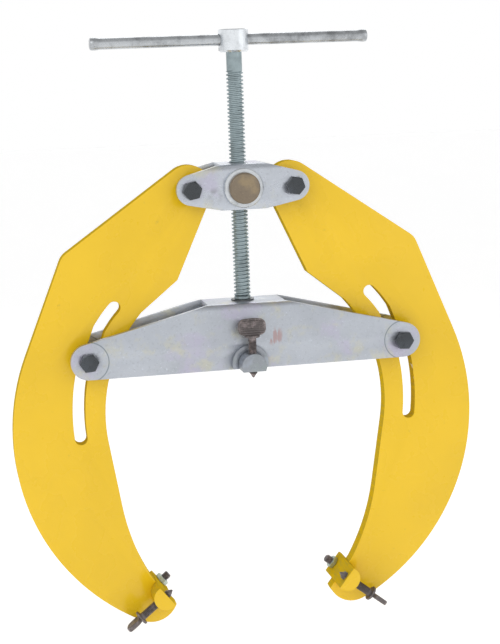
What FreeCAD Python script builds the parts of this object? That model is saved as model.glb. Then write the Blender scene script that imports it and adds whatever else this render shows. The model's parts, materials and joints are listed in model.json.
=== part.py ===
"""Screw-operated pipe clamp with two curved arms.

Two bent steel yokes ride on one lead screw.  The upper yoke carries the arms on pivot bolts and a
trunnion nut that runs on the screw.  The screw turns in the web of the lower yoke, whose end bolts
slide in curved slots in the arms.  Turning the handle moves the yokes apart or together, and the
slots swing the arms.  Origin: axis of the gripped pipe, midway through the arms.  +Z runs along
the screw to the handle, +X to the right arm and +Y to the back.  Units: mm and degrees.
"""

import FreeCAD
import Part
import Sketcher
import math
import os

App = FreeCAD
Vec = FreeCAD.Vector
doc = FreeCAD.newDocument("pipe_clamp")

# --------------------------------------------------------------------------- driving dimensions
SIZES = [
    ("seat_radius", 144.5, "circle through the three thumb screw tips as stored"),
    ("contact_stickout", 8.0, "thumb screw tip beyond the flat of its contact bar"),
    ("tip_spread", 44.2, "angle from straight down to each arm's contact, at the pipe axis"),
    ("tip_tilt", 51.5, "angle from straight down of the arm's thumb screw axis"),
    ("pivot_spacing", 118.0, "between the two arm pivot bolts"),
    ("slot_bolt_out", 39.0, "bolts that slide in the arm slots, outside the seat circle"),
    ("bolt_line_gap", 186.2, "lower yoke bolts to trunnion and pivot bolts, as stored"),
    ("plate_thickness", 6.35, "yoke plate"),
    ("arm_thickness", 15.9, "arm plate"),
    ("side_gap", 14.3, "arm face to yoke plate, each side"),
    ("bend_radius", 7.0, "outside of the yoke bends"),
    ("lower_end_radius", 20.3, "round ends of the lower yoke"),
    ("lower_web_rise", 55.2, "lower yoke web top above its bolts"),
    ("lower_web_half", 45.0, "half length of the lower yoke web"),
    ("upper_end_radius", 17.2, "round ends of the upper yoke"),
    ("upper_web_rise", 27.0, "upper yoke web top above the trunnion axis"),
    ("upper_web_half", 24.5, "half length of the upper yoke web"),
    ("upper_bottom_drop", 24.4, "upper yoke lower edge below the trunnion axis"),
    ("upper_bottom_half", 25.5, "half length of the upper yoke lower edge"),
    ("bolt_diameter", 12.7, "pivot and slot bolts"),
    ("bolt_flats", 19.05, "bolt heads and lock nuts across flats"),
    ("bolt_head_height", 8.0, "bolt head"),
    ("lock_nut_height", 11.0, "lock nut"),
    ("bolt_end", 3.0, "bolt end standing out of its lock nut"),
    ("hole_clearance", 0.4, "radial, bolt in yoke plate"),
    ("fit_clearance", 0.08, "radial running fit"),
    ("slot_clearance", 0.8, "slot wall to bolt, each side"),
    ("spacer_play", 0.4, "spacer to arm face, each side"),
    ("spacer_radius", 11.5, "round spacers beside the arms"),
    ("bush_wall", 3.2, "pivot bush wall"),
    ("pivot_end_radius", 27.0, "round end of the arm about its pivot"),
    ("shoulder_out", 22.2, "arm shoulder corner outside the slot bolt"),
    ("shoulder_rise", 117.9, "arm shoulder corner above the slot bolt"),
    ("shoulder_round", 20.0, "arm shoulder corner radius"),
    ("outer_margin", 87.7, "outer edge of the arm beyond the slot bolt at the widest"),
    ("outer_centre_drop", 90.8, "outer edge centre below the slot bolt"),
    ("nose_radius", 30.0, "round end of the arm at the contact bar"),
    ("nose_out", 12.5, "nose centre outside the contact bar axis"),
    ("nose_drop", 6.5, "nose centre below the contact bar axis"),
    ("inner_radius", 179.4, "inner edge of the arm beside the slot"),
    ("inner_margin", 17.9, "inner edge to the slot bolt line at the widest"),
    ("inner_centre_drop", 71.1, "inner edge centre below the slot bolt"),
    ("throat_rise", 49.2, "where the inner edge arc starts, above the slot bolt"),
    ("inner_corner_out", 17.2, "inner corner of the arm outside its pivot"),
    ("inner_corner_rise", 83.7, "inner corner of the arm above the slot bolt"),
    ("waist_out", 42.5, "end of the straight inner edge, outside the contact bar axis"),
    ("waist_rise", 106.5, "end of the straight inner edge, above the contact bar axis"),
    ("hook_radius", 266.0, "inner edge of the arm near the contact bar"),
    ("swing_per_mm", 0.132, "degrees of arm swing per mm of yoke travel"),
    ("travel_open", 45.0, "yoke travel from stored to open"),
    ("travel_close", 8.0, "yoke travel from stored to closed"),
    ("slot_top_in", 18.4, "upper end of the slot inside the bolt's open place"),
    ("slot_top_rise", 23.8, "and above it"),
    ("slot_top_bulge", 0.8, "upper stretch of the slot, outward of straight at its middle"),
    ("slot_belly_out", 11.8, "lower stretch of the slot outside the slot bolt"),
    ("slot_belly_drop", 54.0, "and below it"),
    ("slot_bottom_out", 11.2, "lower end of the slot outside the slot bolt"),
    ("slot_bottom_drop", 91.6, "and below it"),
    ("trunnion_radius", 17.45, "bronze trunnion nut"),
    ("trunnion_beside", 9.1, "trunnion nut beyond the yoke plate, each side"),
    ("ring_radius", 22.25, "welded ring round the trunnion"),
    ("ring_height", 4.0, "ring above the yoke plate"),
    ("screw_radius", 9.525, "lead screw over the thread"),
    ("thread_above", 130.6, "top of the thread above the trunnion axis"),
    ("neck_radius", 8.8, "plain neck under the hub"),
    ("journal_radius", 6.35, "plain end of the screw in the lower yoke"),
    ("washer_radius", 13.2, "thrust washer on the lower yoke web"),
    ("washer_thickness", 1.5, "both thrust washers"),
    ("collar_radius", 9.0, "retaining collar under the web"),
    ("collar_height", 12.0, "retaining collar"),
    ("end_play", 0.3, "screw shoulder and collar to their thrust washers"),
    ("pin_radius", 2.0, "spring pins in collar and hub"),
    ("hub_rise", 150.6, "underside of the hub above the trunnion axis"),
    ("hub_radius", 16.8, "handle hub"),
    ("hub_height", 25.4, "handle hub"),
    ("hub_bar_rise", 13.7, "handle bar axis above the underside of the hub"),
    ("spigot_radius", 8.0, "screw end inside the hub"),
    ("hub_pin_rise", 3.4, "hub pin above the underside of the hub"),
    ("bar_radius", 6.35, "handle bar"),
    ("bar_length", 317.0, "handle bar"),
    ("bar_offset", -3.5, "handle bar middle from the screw axis, as stored"),
    ("bar_clearance", 0.5, "radial, handle bar in the hub"),
    ("bar_end_radius", 7.0, "upset ends of the handle bar"),
    ("bar_end_length", 9.0, "upset ends of the handle bar"),
    ("stock_radius", 14.3, "half-round contact bars"),
    ("centre_flat", 6.0, "flat below the axis of the centre contact bar"),
    ("tip_flat", 2.5, "flat beyond the axis of an arm's contact bar"),
    ("centre_bar_beside", 27.1, "centre contact bar beyond the yoke plate, each side"),
    ("tip_bar_beside", 26.05, "an arm's contact bar beyond the arm, each side"),
    ("centre_screw_beside", 18.1, "centre contact screws to the yoke plate"),
    ("tip_screw_beside", 17.55, "arm contact screws to the arm"),
    ("bar_flush", 1.0, "lower yoke edge beyond the flat of the centre bar"),
    ("weld_gap", 0.05, "contact bars in the holes that they are welded into"),
    ("collar_ring_radius", 21.0, "welded rings round the centre contact bar"),
    ("collar_ring_height", 5.0, "welded rings round the centre contact bar"),
    ("contact_radius", 4.76, "thumb screws and fixed contacts over the thread"),
    ("thumb_reach", 46.3, "thumb screw tip to the underside of its flange"),
    ("thumb_cone", 5.5, "pointed end of the thumb screw"),
    ("thumb_point_radius", 0.8, "blunt tip of the thumb screw"),
    ("flange_radius", 8.75, "thumb screw flange"),
    ("flange_height", 2.6, "thumb screw flange"),
    ("spade_width", 32.0, "thumb screw head"),
    ("spade_height", 19.0, "thumb screw head"),
    ("spade_thickness", 5.5, "thumb screw head"),
    ("spade_round", 9.0, "corner radius of the thumb screw head"),
    ("left_spade_turn", 102.0, "left thumb screw head about its own axis, as stored"),
    ("right_spade_turn", 84.0, "right thumb screw head about its own axis, as stored"),
    ("stud_stickout", 13.0, "fixed contact beyond the flat of an arm's contact bar"),
    ("stud_depth", 12.0, "fixed contact inside the contact bar, past its axis"),
    ("centre_stud_stickout", 9.0, "fixed contact below the flat of the centre bar"),
    ("centre_stud_rise", 26.0, "top of the centre fixed contact above the bar axis"),
    ("jam_nut_flats", 14.3, "jam nuts of the fixed contacts"),
    ("jam_nut_height", 5.6, "jam nuts of the fixed contacts"),
    ("edge_chamfer", 1.0, "chamfers of turned pieces"),
]

# Heights and places worked out from the driving dimensions.
DERIVED = [
    ("centre_flat_z", "seat_radius + contact_stickout"),
    ("centre_bar_z", "seat_radius + contact_stickout + centre_flat"),
    ("slot_bolt_z", "seat_radius + contact_stickout - bar_flush + lower_end_radius"),
    ("slot_bolt_x", "seat_radius + slot_bolt_out"),
    ("pivot_x", "pivot_spacing / 2"),
    ("trunnion_z", "seat_radius + contact_stickout - bar_flush + lower_end_radius + bolt_line_gap"),
    ("inner_width", "arm_thickness + 2 * side_gap"),
    ("yoke_half", "arm_thickness / 2 + side_gap + plate_thickness"),
    ("centre_bar_half", "arm_thickness / 2 + side_gap + plate_thickness + centre_bar_beside"),
    ("centre_screw_y", "arm_thickness / 2 + side_gap + plate_thickness + centre_screw_beside"),
    ("tip_bar_half", "arm_thickness / 2 + tip_bar_beside"),
    ("tip_screw_y", "arm_thickness / 2 + tip_screw_beside"),
    (
        "tip_bar_x",
        "seat_radius * sin(tip_spread * 1deg) + (contact_stickout + tip_flat) * sin(tip_tilt * 1deg)",
    ),
    (
        "tip_bar_z",
        "-seat_radius * cos(tip_spread * 1deg) - (contact_stickout + tip_flat) * cos(tip_tilt * 1deg)",
    ),
]


def make_sheets():
    """The driving sheet holds plain numbers.  The second sheet works out what follows from them."""
    driving = doc.addObject("Spreadsheet::Sheet", "Sizes")
    for row, (alias, value, note) in enumerate(SIZES, start=1):
        driving.set(f"A{row}", note)
        driving.set(f"B{row}", str(value))
        driving.setAlias(f"B{row}", alias)
    doc.recompute()
    places = doc.addObject("Spreadsheet::Sheet", "Places")
    names = sorted((alias for alias, _, _ in SIZES), key=len, reverse=True)
    for row, (alias, formula) in enumerate(DERIVED, start=1):
        words = formula.split(" ")
        for index, word in enumerate(words):
            bare = word.lstrip("-(").replace("sin(", "").replace("cos(", "").rstrip(")")
            if bare in names:
                words[index] = word.replace(bare, "Sizes." + bare)
        places.set(f"B{row}", "=" + " ".join(words))
        places.setAlias(f"B{row}", alias)
    doc.recompute()
    return driving, places


S, P = make_sheets()
PIECES = []


def keep(piece):
    """Lists a finished sub-part for the checks and the export."""
    PIECES.append(piece)
    return piece


def place(piece, x="0", y="0", z="0", rotation=None):
    """Turns a piece, then binds its place to the sheets."""
    if rotation is not None:
        piece.Placement = App.Placement(Vec(0, 0, 0), rotation)
    for axis, formula in zip("xyz", (x, y, z)):
        piece.setExpression(f"Placement.Base.{axis}", formula)
    return piece


UPRIGHT = App.Rotation(Vec(0, 0, 1), 0)
TO_BACK = App.Rotation(Vec(1, 0, 0), -90)  # local +Z points to the back, +Y
TO_FRONT = App.Rotation(Vec(1, 0, 0), 90)  # local +Z points to the front, -Y
TO_RIGHT = App.Rotation(Vec(0, 1, 0), 90)  # local +Z points right, +X


# --------------------------------------------------------------------------- sketch helpers
def plane_of(body, role):
    return next(o for o in body.Origin.OriginFeatures if o.Role == role)


def new_sketch(body, role, name):
    sketch = body.newObject("Sketcher::SketchObject", name)
    sketch.AttachmentSupport = [(plane_of(body, role), "")]
    sketch.MapMode = "FlatFace"
    return sketch


def pin_point(sketch, geo, pos, u, v):
    """Holds one point of a sketch at (u, v), each a formula of the sheets."""
    for kind, formula in (("DistanceX", u), ("DistanceY", v)):
        if formula == "0":
            axis = -2 if kind == "DistanceX" else -1
            sketch.addConstraint(Sketcher.Constraint("PointOnObject", geo, pos, axis))
            continue
        start = float(sketch.evalExpression(formula))
        number = sketch.addConstraint(Sketcher.Constraint(kind, -1, 1, geo, pos, start))
        sketch.setExpression(f"Constraints[{number}]", formula)


def polygon_sketch(body, role, name, points):
    """A closed outline of straight lines, each corner held at its two formulas."""
    sketch = new_sketch(body, role, name)
    count = len(points)
    start = [
        Vec(10 * math.cos(2 * math.pi * i / count), 10 * math.sin(2 * math.pi * i / count), 0)
        for i in range(count)
    ]
    for i in range(count):
        sketch.addGeometry(Part.LineSegment(start[i], start[(i + 1) % count]), False)
    for i in range(count):
        sketch.addConstraint(Sketcher.Constraint("Coincident", i, 2, (i + 1) % count, 1))
    for i, (u, v) in enumerate(points):
        pin_point(sketch, i, 1, u, v)
    return sketch


def circle_sketch(body, role, name, circles):
    """Circles at formula centres, with formula radii."""
    sketch = new_sketch(body, role, name)
    for i, (u, v, radius) in enumerate(circles):
        sketch.addGeometry(Part.Circle(Vec(10 * i, 0, 0), Vec(0, 0, 1), 3), False)
        pin_point(sketch, i, 3, u, v)
        number = sketch.addConstraint(Sketcher.Constraint("Radius", i, 3.0))
        sketch.setExpression(f"Constraints[{number}]", radius)
    return sketch


def rounded_sketch(body, role, name, half, low, high, radius):
    """A rectangle with round corners, even about the vertical axis, from low to high."""
    sketch = new_sketch(body, role, name)
    size = float(sketch.evalExpression(radius))
    out = float(sketch.evalExpression(half)) - size
    bottom = float(sketch.evalExpression(low)) + size
    top = float(sketch.evalExpression(high)) - size
    corners = [(out, bottom, 270), (out, top, 0), (-out, top, 90), (-out, bottom, 180)]
    for u, v, first in corners:
        circle = Part.Circle(Vec(u, v, 0), Vec(0, 0, 1), size)
        ends = math.radians(first), math.radians(first + 90)
        sketch.addGeometry(Part.ArcOfCircle(circle, *ends), False)
    for index in range(4):
        start = sketch.Geometry[index].EndPoint
        end = sketch.Geometry[(index + 1) % 4].StartPoint
        sketch.addGeometry(Part.LineSegment(start, end), False)
    for index in range(4):
        line = 4 + index
        follower = (index + 1) % 4
        sketch.addConstraint(Sketcher.Constraint("Tangent", index, 2, line, 1))
        sketch.addConstraint(Sketcher.Constraint("Tangent", line, 2, follower, 1))
        level = "Vertical" if index % 2 == 0 else "Horizontal"
        sketch.addConstraint(Sketcher.Constraint(level, line))
        number = sketch.addConstraint(Sketcher.Constraint("Radius", index, size))
        sketch.setExpression(f"Constraints[{number}]", radius)
    pin_point(sketch, 0, 3, f"{half} - {radius}", f"{low} + {radius}")
    pin_point(sketch, 2, 3, f"-({half} - {radius})", f"{high} - {radius}")
    return sketch


def turned(name, points):
    """A body turned about its own Z axis from a half section of (radius, height) corners."""
    body = doc.addObject("PartDesign::Body", name)
    body.Label = name
    sketch = polygon_sketch(body, "XZ_Plane", name + "_section", points)
    turn = body.newObject("PartDesign::Revolution", name + "_turned")
    turn.Profile = sketch
    turn.ReferenceAxis = (sketch, ["V_Axis"])
    turn.Angle = 360
    body.Tip = turn
    return body


def pad(body, sketch, length, name):
    """Pads a sketch evenly to both sides of its plane."""
    feature = body.newObject("PartDesign::Pad", name)
    feature.Profile = sketch
    feature.SideType = "Symmetric"
    feature.setExpression("Length", length)
    body.Tip = feature
    return feature


def pocket(body, sketch, length, name):
    """Cuts a sketch evenly to both sides of its plane, and makes sure that it cut something."""
    doc.recompute()
    before = body.Shape.Volume
    feature = body.newObject("PartDesign::Pocket", name)
    feature.Profile = sketch
    feature.SideType = "Symmetric"
    feature.setExpression("Length", length)
    body.Tip = feature
    doc.recompute()
    if body.Shape.Volume >= before - 1e-6:
        raise RuntimeError(f"{name} removed nothing")
    return feature


def washer(name, bore, radius, height):
    """A flat ring standing on its own XY plane."""
    half = [(bore, "0"), (radius, "0"), (radius, height), (bore, height)]
    return turned(name, half)


# --------------------------------------------------------------------------- yokes
def yoke(name, half_span, bolt_z, end_radius, web_half, web_rise, bottom, holes, web_hole):
    """A channel bent from one plate: two shaped side plates joined by a short web on top."""
    body = doc.addObject("PartDesign::Body", name)
    body.Label = name
    outline = plate_outline(body, half_span, bolt_z, end_radius, web_half, web_rise, bottom)
    pad(body, outline, "2 * Places.yoke_half", name + "_plates")
    doc.recompute()
    round_bends(body, name, f"{bolt_z} + {web_rise}")
    top = f"{bolt_z} + {web_rise} + 1"
    under = f"{bolt_z} + {web_rise} - Sizes.plate_thickness"
    low = f"{bolt_z} - 200"
    wide = f"{half_span} + 200"
    inside = polygon_sketch(
        body,
        "XZ_Plane",
        name + "_inside",
        [
            (f"-({wide})", low),
            (wide, low),
            (wide, top),
            (web_half, top),
            (web_half, under),
            (f"-({web_half})", under),
            (f"-({web_half})", top),
            (f"-({wide})", top),
        ],
    )
    pocket(body, inside, "Places.inner_width", name + "_channel")
    sketch = circle_sketch(body, "XZ_Plane", name + "_bores", holes)
    pocket(body, sketch, "4 * Places.yoke_half", name + "_bored")
    sketch = circle_sketch(body, "XY_Plane", name + "_web_circle", [("0", "0", web_hole)])
    pocket(body, sketch, f"2 * ({top})", name + "_web_hole")
    return keep(body)


def plate_outline(body, half_span, bolt_z, end_radius, web_half, web_rise, bottom):
    """Round ends joined by a top that rises to the web.  bottom is None where the lower edge is
    one straight line that touches both ends, or (half length, drop) where it is also raised."""
    sketch = new_sketch(body, "XZ_Plane", body.Label + "_outline")
    number = {"half_span": half_span, "bolt_z": bolt_z, "end_radius": end_radius}
    number.update(web_half=web_half, web_rise=web_rise)
    number = {key: value_of(formula) for key, formula in number.items()}
    span, z, radius = number["half_span"], number["bolt_z"], number["end_radius"]
    top = Vec(number["web_half"], z + number["web_rise"], 0)
    end = Vec(span, z, 0)
    upper = tangent_point(top, end, radius, 1)
    if bottom is None:
        corners = [Vec(span, z - radius, 0)]
    else:
        low = Vec(value_of(bottom[0]), z - value_of(bottom[1]), 0)
        corners = [low, tangent_point(low, end, radius, -1)]
    right = [top, upper, *reversed(corners)]
    flip = [Vec(-p.x, p.y, 0) for p in right]
    # Right side going down: top corner, slope, round end, lower edge.  Then the left side going up.
    sketch.addGeometry(Part.LineSegment(right[0], right[1]), False)
    sketch.addGeometry(arc_of_circle(end, radius, right[2], right[1]), False)
    order = [(0, 2, 1, 2)]
    if bottom is None:
        sketch.addGeometry(Part.LineSegment(right[2], flip[2]), False)
        sketch.addGeometry(arc_of_circle(Vec(-span, z, 0), radius, flip[1], flip[2]), False)
        sketch.addGeometry(Part.LineSegment(flip[1], flip[0]), False)
        sketch.addGeometry(Part.LineSegment(flip[0], right[0]), False)
        order += [(1, 1, 2, 1), (2, 2, 3, 2), (3, 1, 4, 1)]
        left_arc, left_slope, top_line = 3, 4, 5
    else:
        sketch.addGeometry(Part.LineSegment(right[2], right[3]), False)
        sketch.addGeometry(Part.LineSegment(right[3], flip[3]), False)
        sketch.addGeometry(Part.LineSegment(flip[3], flip[2]), False)
        sketch.addGeometry(arc_of_circle(Vec(-span, z, 0), radius, flip[1], flip[2]), False)
        sketch.addGeometry(Part.LineSegment(flip[1], flip[0]), False)
        sketch.addGeometry(Part.LineSegment(flip[0], right[0]), False)
        order += [(1, 1, 2, 1), (4, 2, 5, 2), (5, 1, 6, 1)]
        left_arc, left_slope, top_line = 5, 6, 7
        sketch.addConstraint(Sketcher.Constraint("Coincident", 2, 2, 3, 1))
        sketch.addConstraint(Sketcher.Constraint("Coincident", 3, 2, 4, 1))
        pin_point(sketch, 3, 1, bottom[0], f"{bolt_z} - {bottom[1]}")
        pin_point(sketch, 3, 2, f"-({bottom[0]})", f"{bolt_z} - {bottom[1]}")
    for one, one_end, other, other_end in order:
        sketch.addConstraint(Sketcher.Constraint("Tangent", one, one_end, other, other_end))
    sketch.addConstraint(Sketcher.Constraint("Coincident", left_slope, 2, top_line, 1))
    sketch.addConstraint(Sketcher.Constraint("Coincident", top_line, 2, 0, 1))
    pin_point(sketch, 1, 3, half_span, bolt_z)
    pin_point(sketch, left_arc, 3, f"-({half_span})", bolt_z)
    pin_point(sketch, 0, 1, web_half, f"{bolt_z} + {web_rise}")
    pin_point(sketch, top_line, 1, f"-({web_half})", f"{bolt_z} + {web_rise}")
    for arc in (1, left_arc):
        number = sketch.addConstraint(Sketcher.Constraint("Radius", arc, radius))
        sketch.setExpression(f"Constraints[{number}]", end_radius)
    return sketch


def value_of(formula):
    """The number that one sheet name stands for."""
    sheet, alias = formula.split(".")
    return getattr({"Sizes": S, "Places": P}[sheet], alias)


def arc_of_circle(centre, radius, start, end):
    """Counter-clockwise arc between two points of a circle."""
    first = math.atan2(start.y - centre.y, start.x - centre.x)
    last = math.atan2(end.y - centre.y, end.x - centre.x)
    if last < first:
        last += 2 * math.pi
    return Part.ArcOfCircle(Part.Circle(centre, Vec(0, 0, 1), radius), first, last)


def tangent_point(point, centre, radius, side):
    """Where a line from point touches the circle.  side +1 is the left hand of point to centre."""
    reach = centre - point
    angle = math.atan2(reach.y, reach.x)
    spread = math.asin(radius / reach.Length) * side
    length = math.sqrt(reach.Length**2 - radius**2)
    return point + Vec(math.cos(angle + spread), math.sin(angle + spread), 0) * length


def round_bends(body, name, top):
    """Takes the two long top corners off to a round, where the plate is bent."""
    sketch = new_sketch(body, "YZ_Plane", name + "_bend_corners")
    peak = float(sketch.evalExpression(top))
    half = P.yoke_half
    size = S.bend_radius
    for side, mark in ((1, ""), (-1, "-")):
        first = sketch.GeometryCount
        away = [(half - size, peak), (half - size, peak + 1), (half + 1, peak + 1)]
        away += [(half + 1, peak - size), (half, peak - size)]
        start = [Vec(side * u, v, 0) for u, v in away]
        for i in range(4):
            sketch.addGeometry(Part.LineSegment(start[i], start[i + 1]), False)
        middle = Vec(side * (half - size), peak - size, 0)
        ends = (start[4], start[0]) if side > 0 else (start[0], start[4])
        sketch.addGeometry(arc_of_circle(middle, size, *ends), False)
        for i in range(3):
            sketch.addConstraint(Sketcher.Constraint("Coincident", first + i, 2, first + i + 1, 1))
        arc = first + 4
        near, far = (1, 2) if side > 0 else (2, 1)
        sketch.addConstraint(Sketcher.Constraint("Coincident", first + 3, 2, arc, near))
        sketch.addConstraint(Sketcher.Constraint("Coincident", arc, far, first, 1))
        inner = f"{mark}(Places.yoke_half - Sizes.bend_radius)"
        outer = f"{mark}(Places.yoke_half + 1)"
        pin_point(sketch, first + 1, 1, inner, f"{top} + 1")
        pin_point(sketch, first + 2, 1, outer, f"{top} + 1")
        pin_point(sketch, first + 3, 1, outer, f"{top} - Sizes.bend_radius")
        pin_point(sketch, arc, 3, inner, f"{top} - Sizes.bend_radius")
        sketch.addConstraint(Sketcher.Constraint("Vertical", first))
        sketch.addConstraint(Sketcher.Constraint("Horizontal", first + 3))
        number = sketch.addConstraint(Sketcher.Constraint("Radius", arc, size))
        sketch.setExpression(f"Constraints[{number}]", "Sizes.bend_radius")
    pocket(body, sketch, "4 * Places.slot_bolt_x", name + "_bends")


# --------------------------------------------------------------------------- arms
def unit(angle):
    """Direction at an angle from straight down, towards +X, in degrees."""
    return Vec(math.sin(math.radians(angle)), -math.cos(math.radians(angle)), 0)


def arc_between(centre, start, end):
    """The shorter arc about a centre, in the arm's own X and height plane."""
    radius = (start - centre).Length
    middle = centre + ((start + end) * 0.5 - centre).normalize() * radius
    return Part.Arc(start, middle, end).toShape()


def line_meets_circle(point, direction, centre, radius, sign):
    """Where a line crosses a circle, on the side that sign picks along the direction."""
    along = (centre - point).dot(direction)
    foot = point + direction * along
    half = math.sqrt(radius**2 - (foot - centre).Length ** 2)
    return foot + direction * (half * sign)


def arm_edges():
    """Outline of the right arm, with X across and height as Y."""
    pivot = Vec(P.pivot_x, P.trunnion_z, 0)
    bolt = Vec(P.slot_bolt_x, P.slot_bolt_z, 0)
    bar = Vec(P.tip_bar_x, P.tip_bar_z, 0)
    shoulder = bolt + Vec(S.shoulder_out, S.shoulder_rise, 0)
    nose = bar + Vec(S.nose_out, -S.nose_drop, 0)
    widest = bolt + Vec(S.outer_margin, -S.outer_centre_drop, 0)
    gap = widest - nose
    outer_radius = (gap.Length**2 - S.nose_radius**2) / (2 * (gap.x - S.nose_radius))
    outer = widest - Vec(outer_radius, 0, 0)
    inner = bolt + Vec(-S.inner_margin - S.inner_radius, -S.inner_centre_drop, 0)
    waist = bar + Vec(S.waist_out, S.waist_rise, 0)
    corner = Vec(pivot.x + S.inner_corner_out, bolt.y + S.inner_corner_rise, 0)

    top_touch = tangent_point(shoulder, pivot, S.pivot_end_radius, -1)
    outer_touch = tangent_point(shoulder, outer, outer_radius, 1)
    nose_touch = outer + (nose - outer).normalize() * outer_radius
    inwards = unit(S.tip_tilt) * -1
    along_flat = Vec(inwards.y, -inwards.x, 0)
    if along_flat.y > 0:
        along_flat = along_flat * -1
    cut = bar + inwards * (S.tip_flat - S.edge_chamfer)
    nose_end = line_meets_circle(cut, along_flat, nose, S.nose_radius, 1)
    inner_touch = tangent_point(waist, inner, S.inner_radius, -1)
    straight = (waist - inner_touch).normalize()
    hook = waist + Vec(straight.y, -straight.x, 0) * S.hook_radius
    hook_end = line_meets_circle(cut, along_flat, hook, S.hook_radius, -1)
    rise = bolt.y + S.throat_rise
    throat = Vec(inner.x + math.sqrt(S.inner_radius**2 - (rise - inner.y) ** 2), rise, 0)
    inside_touch = tangent_point(corner, pivot, S.pivot_end_radius, 1)

    # The shoulder corner is rounded with an arc that touches both of its edges.
    back = (top_touch - shoulder).normalize()
    down = (outer_touch - shoulder).normalize()
    half = math.acos(back.dot(down)) / 2
    bisector = (back + down).normalize()
    centre = shoulder + bisector * (S.shoulder_round / math.sin(half))
    cut_back = S.shoulder_round / math.tan(half)
    return [
        Part.LineSegment(top_touch, shoulder + back * cut_back).toShape(),
        arc_between(centre, shoulder + back * cut_back, shoulder + down * cut_back),
        Part.LineSegment(shoulder + down * cut_back, outer_touch).toShape(),
        arc_between(outer, outer_touch, nose_touch),
        arc_between(nose, nose_touch, nose_end),
        Part.LineSegment(nose_end, hook_end).toShape(),
        arc_between(hook, hook_end, waist),
        Part.LineSegment(waist, inner_touch).toShape(),
        arc_between(inner, inner_touch, throat),
        Part.LineSegment(throat, corner).toShape(),
        Part.LineSegment(corner, inside_touch).toShape(),
        arc_between(pivot, inside_touch, top_touch),
    ]


def slot_path(travel):
    """Where the slot bolt lies in the arm when the yokes have moved apart by travel."""
    pivot = Vec(P.pivot_x, P.trunnion_z, 0)
    swing = math.radians(S.swing_per_mm * travel)
    reach = Vec(P.slot_bolt_x - pivot.x, P.slot_bolt_z - pivot.y - travel, 0)
    across = reach.x * math.cos(swing) - reach.y * math.sin(swing)
    down = reach.x * math.sin(swing) + reach.y * math.cos(swing)
    return pivot + Vec(across, down, 0)


def slot_centres():
    """Centre line of the slot from its upper end to its lower end.  The middle is the path that the
    bolt takes, and two arcs lead on to its ends."""
    bolt = Vec(P.slot_bolt_x, P.slot_bolt_z, 0)
    steps = 15
    span = S.travel_open + S.travel_close
    working = [slot_path(-S.travel_open + span * i / steps) for i in range(steps + 1)]
    top = working[0] + Vec(-S.slot_top_in, S.slot_top_rise, 0)
    belly = bolt + Vec(S.slot_belly_out, -S.slot_belly_drop, 0)
    bottom = bolt + Vec(S.slot_bottom_out, -S.slot_bottom_drop, 0)
    lower = Part.Arc(working[-1], belly, bottom).toShape().discretize(8)
    run = working[0] - top
    bulge = top + run * 0.5 + Vec(-run.y, run.x, 0).normalize() * S.slot_top_bulge
    upper = Part.Arc(top, bulge, working[0]).toShape().discretize(6)
    return [Vec(p.x, p.y, 0) for p in [*upper[:-1], *working, *lower[1:]]]


def slot_face():
    """The slot as a face: two smooth walls joined by round ends."""
    half = S.bolt_diameter / 2 + S.slot_clearance
    centres = slot_centres()
    spline = Part.BSplineCurve()
    spline.interpolate(centres)
    walls = {1: [], -1: []}
    for i in range(41):
        at = spline.FirstParameter + (spline.LastParameter - spline.FirstParameter) * i / 40
        along = Vec(*spline.tangent(at)[0])
        for side, wall in walls.items():
            wall.append(spline.value(at) + Vec(-along.y, along.x, 0) * (half * side))
    edges = []
    for side in (1, -1):
        curve = Part.BSplineCurve()
        curve.interpolate(walls[side])
        edges.append(curve.toShape())
    for centre, end, outwards in ((centres[0], 0, -1), (centres[-1], -1, 1)):
        at = spline.FirstParameter if end == 0 else spline.LastParameter
        along = Vec(*spline.tangent(at)[0]) * (half * outwards)
        edges.append(Part.Arc(walls[1][end], centre + along, walls[-1][end]).toShape())
    return Part.Face(Part.Wire(Part.__sortEdges__(edges)))


def upright_plate(face, thickness):
    """Stands a flat face up in the X and Z plane and thickens it evenly about that plane."""
    solid = face.extrude(Vec(0, 0, thickness))
    solid.translate(Vec(0, 0, -thickness / 2))
    return solid.rotate(Vec(0, 0, 0), Vec(1, 0, 0), 90)


def arm(name, mirrored):
    """A curved arm cut from plate, with its pivot bore, its slot and its notch for the bar."""
    outline = Part.Face(Part.Wire(Part.__sortEdges__(arm_edges())))
    bore = S.bolt_diameter / 2 + S.fit_clearance + S.bush_wall
    pivot = Part.Face(Part.Wire(Part.makeCircle(bore, Vec(P.pivot_x, P.trunnion_z, 0))))
    notch_radius = S.stock_radius + S.weld_gap
    notch = Part.Face(Part.Wire(Part.makeCircle(notch_radius, Vec(P.tip_bar_x, P.tip_bar_z, 0))))
    shape = upright_plate(outline, S.arm_thickness)
    for opening in (pivot, slot_face(), notch):
        shape = shape.cut(upright_plate(opening, S.arm_thickness + 10))
    if mirrored:
        shape = shape.mirror(Vec(0, 0, 0), Vec(1, 0, 0))
    piece = doc.addObject("Part::Feature", name)
    piece.Label = name
    piece.Shape = shape.Solids[0]
    piece.Placement = App.Placement()
    return keep(piece)


# --------------------------------------------------------------------------- fasteners
def prism(name, flats, height, start="0"):
    """A hexagonal bar of a given size across flats."""
    piece = doc.addObject("Part::Prism", name)
    piece.Polygon = 6
    piece.setExpression("Circumradius", f"{flats} / sqrt(3)")
    piece.setExpression("Height", height)
    piece.setExpression("Placement.Base.z", start)
    return piece


def rod(name, radius, height, start="0"):
    """A plain round bar along Z."""
    piece = doc.addObject("Part::Cylinder", name)
    piece.setExpression("Radius", radius)
    piece.setExpression("Height", height)
    piece.setExpression("Placement.Base.z", start)
    return piece


def combine(kind, name, base, tool):
    """One Part boolean of two pieces, with its own label."""
    piece = doc.addObject("Part::" + kind, name)
    piece.Label = name
    piece.Base = base
    piece.Tool = tool
    return piece


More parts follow.
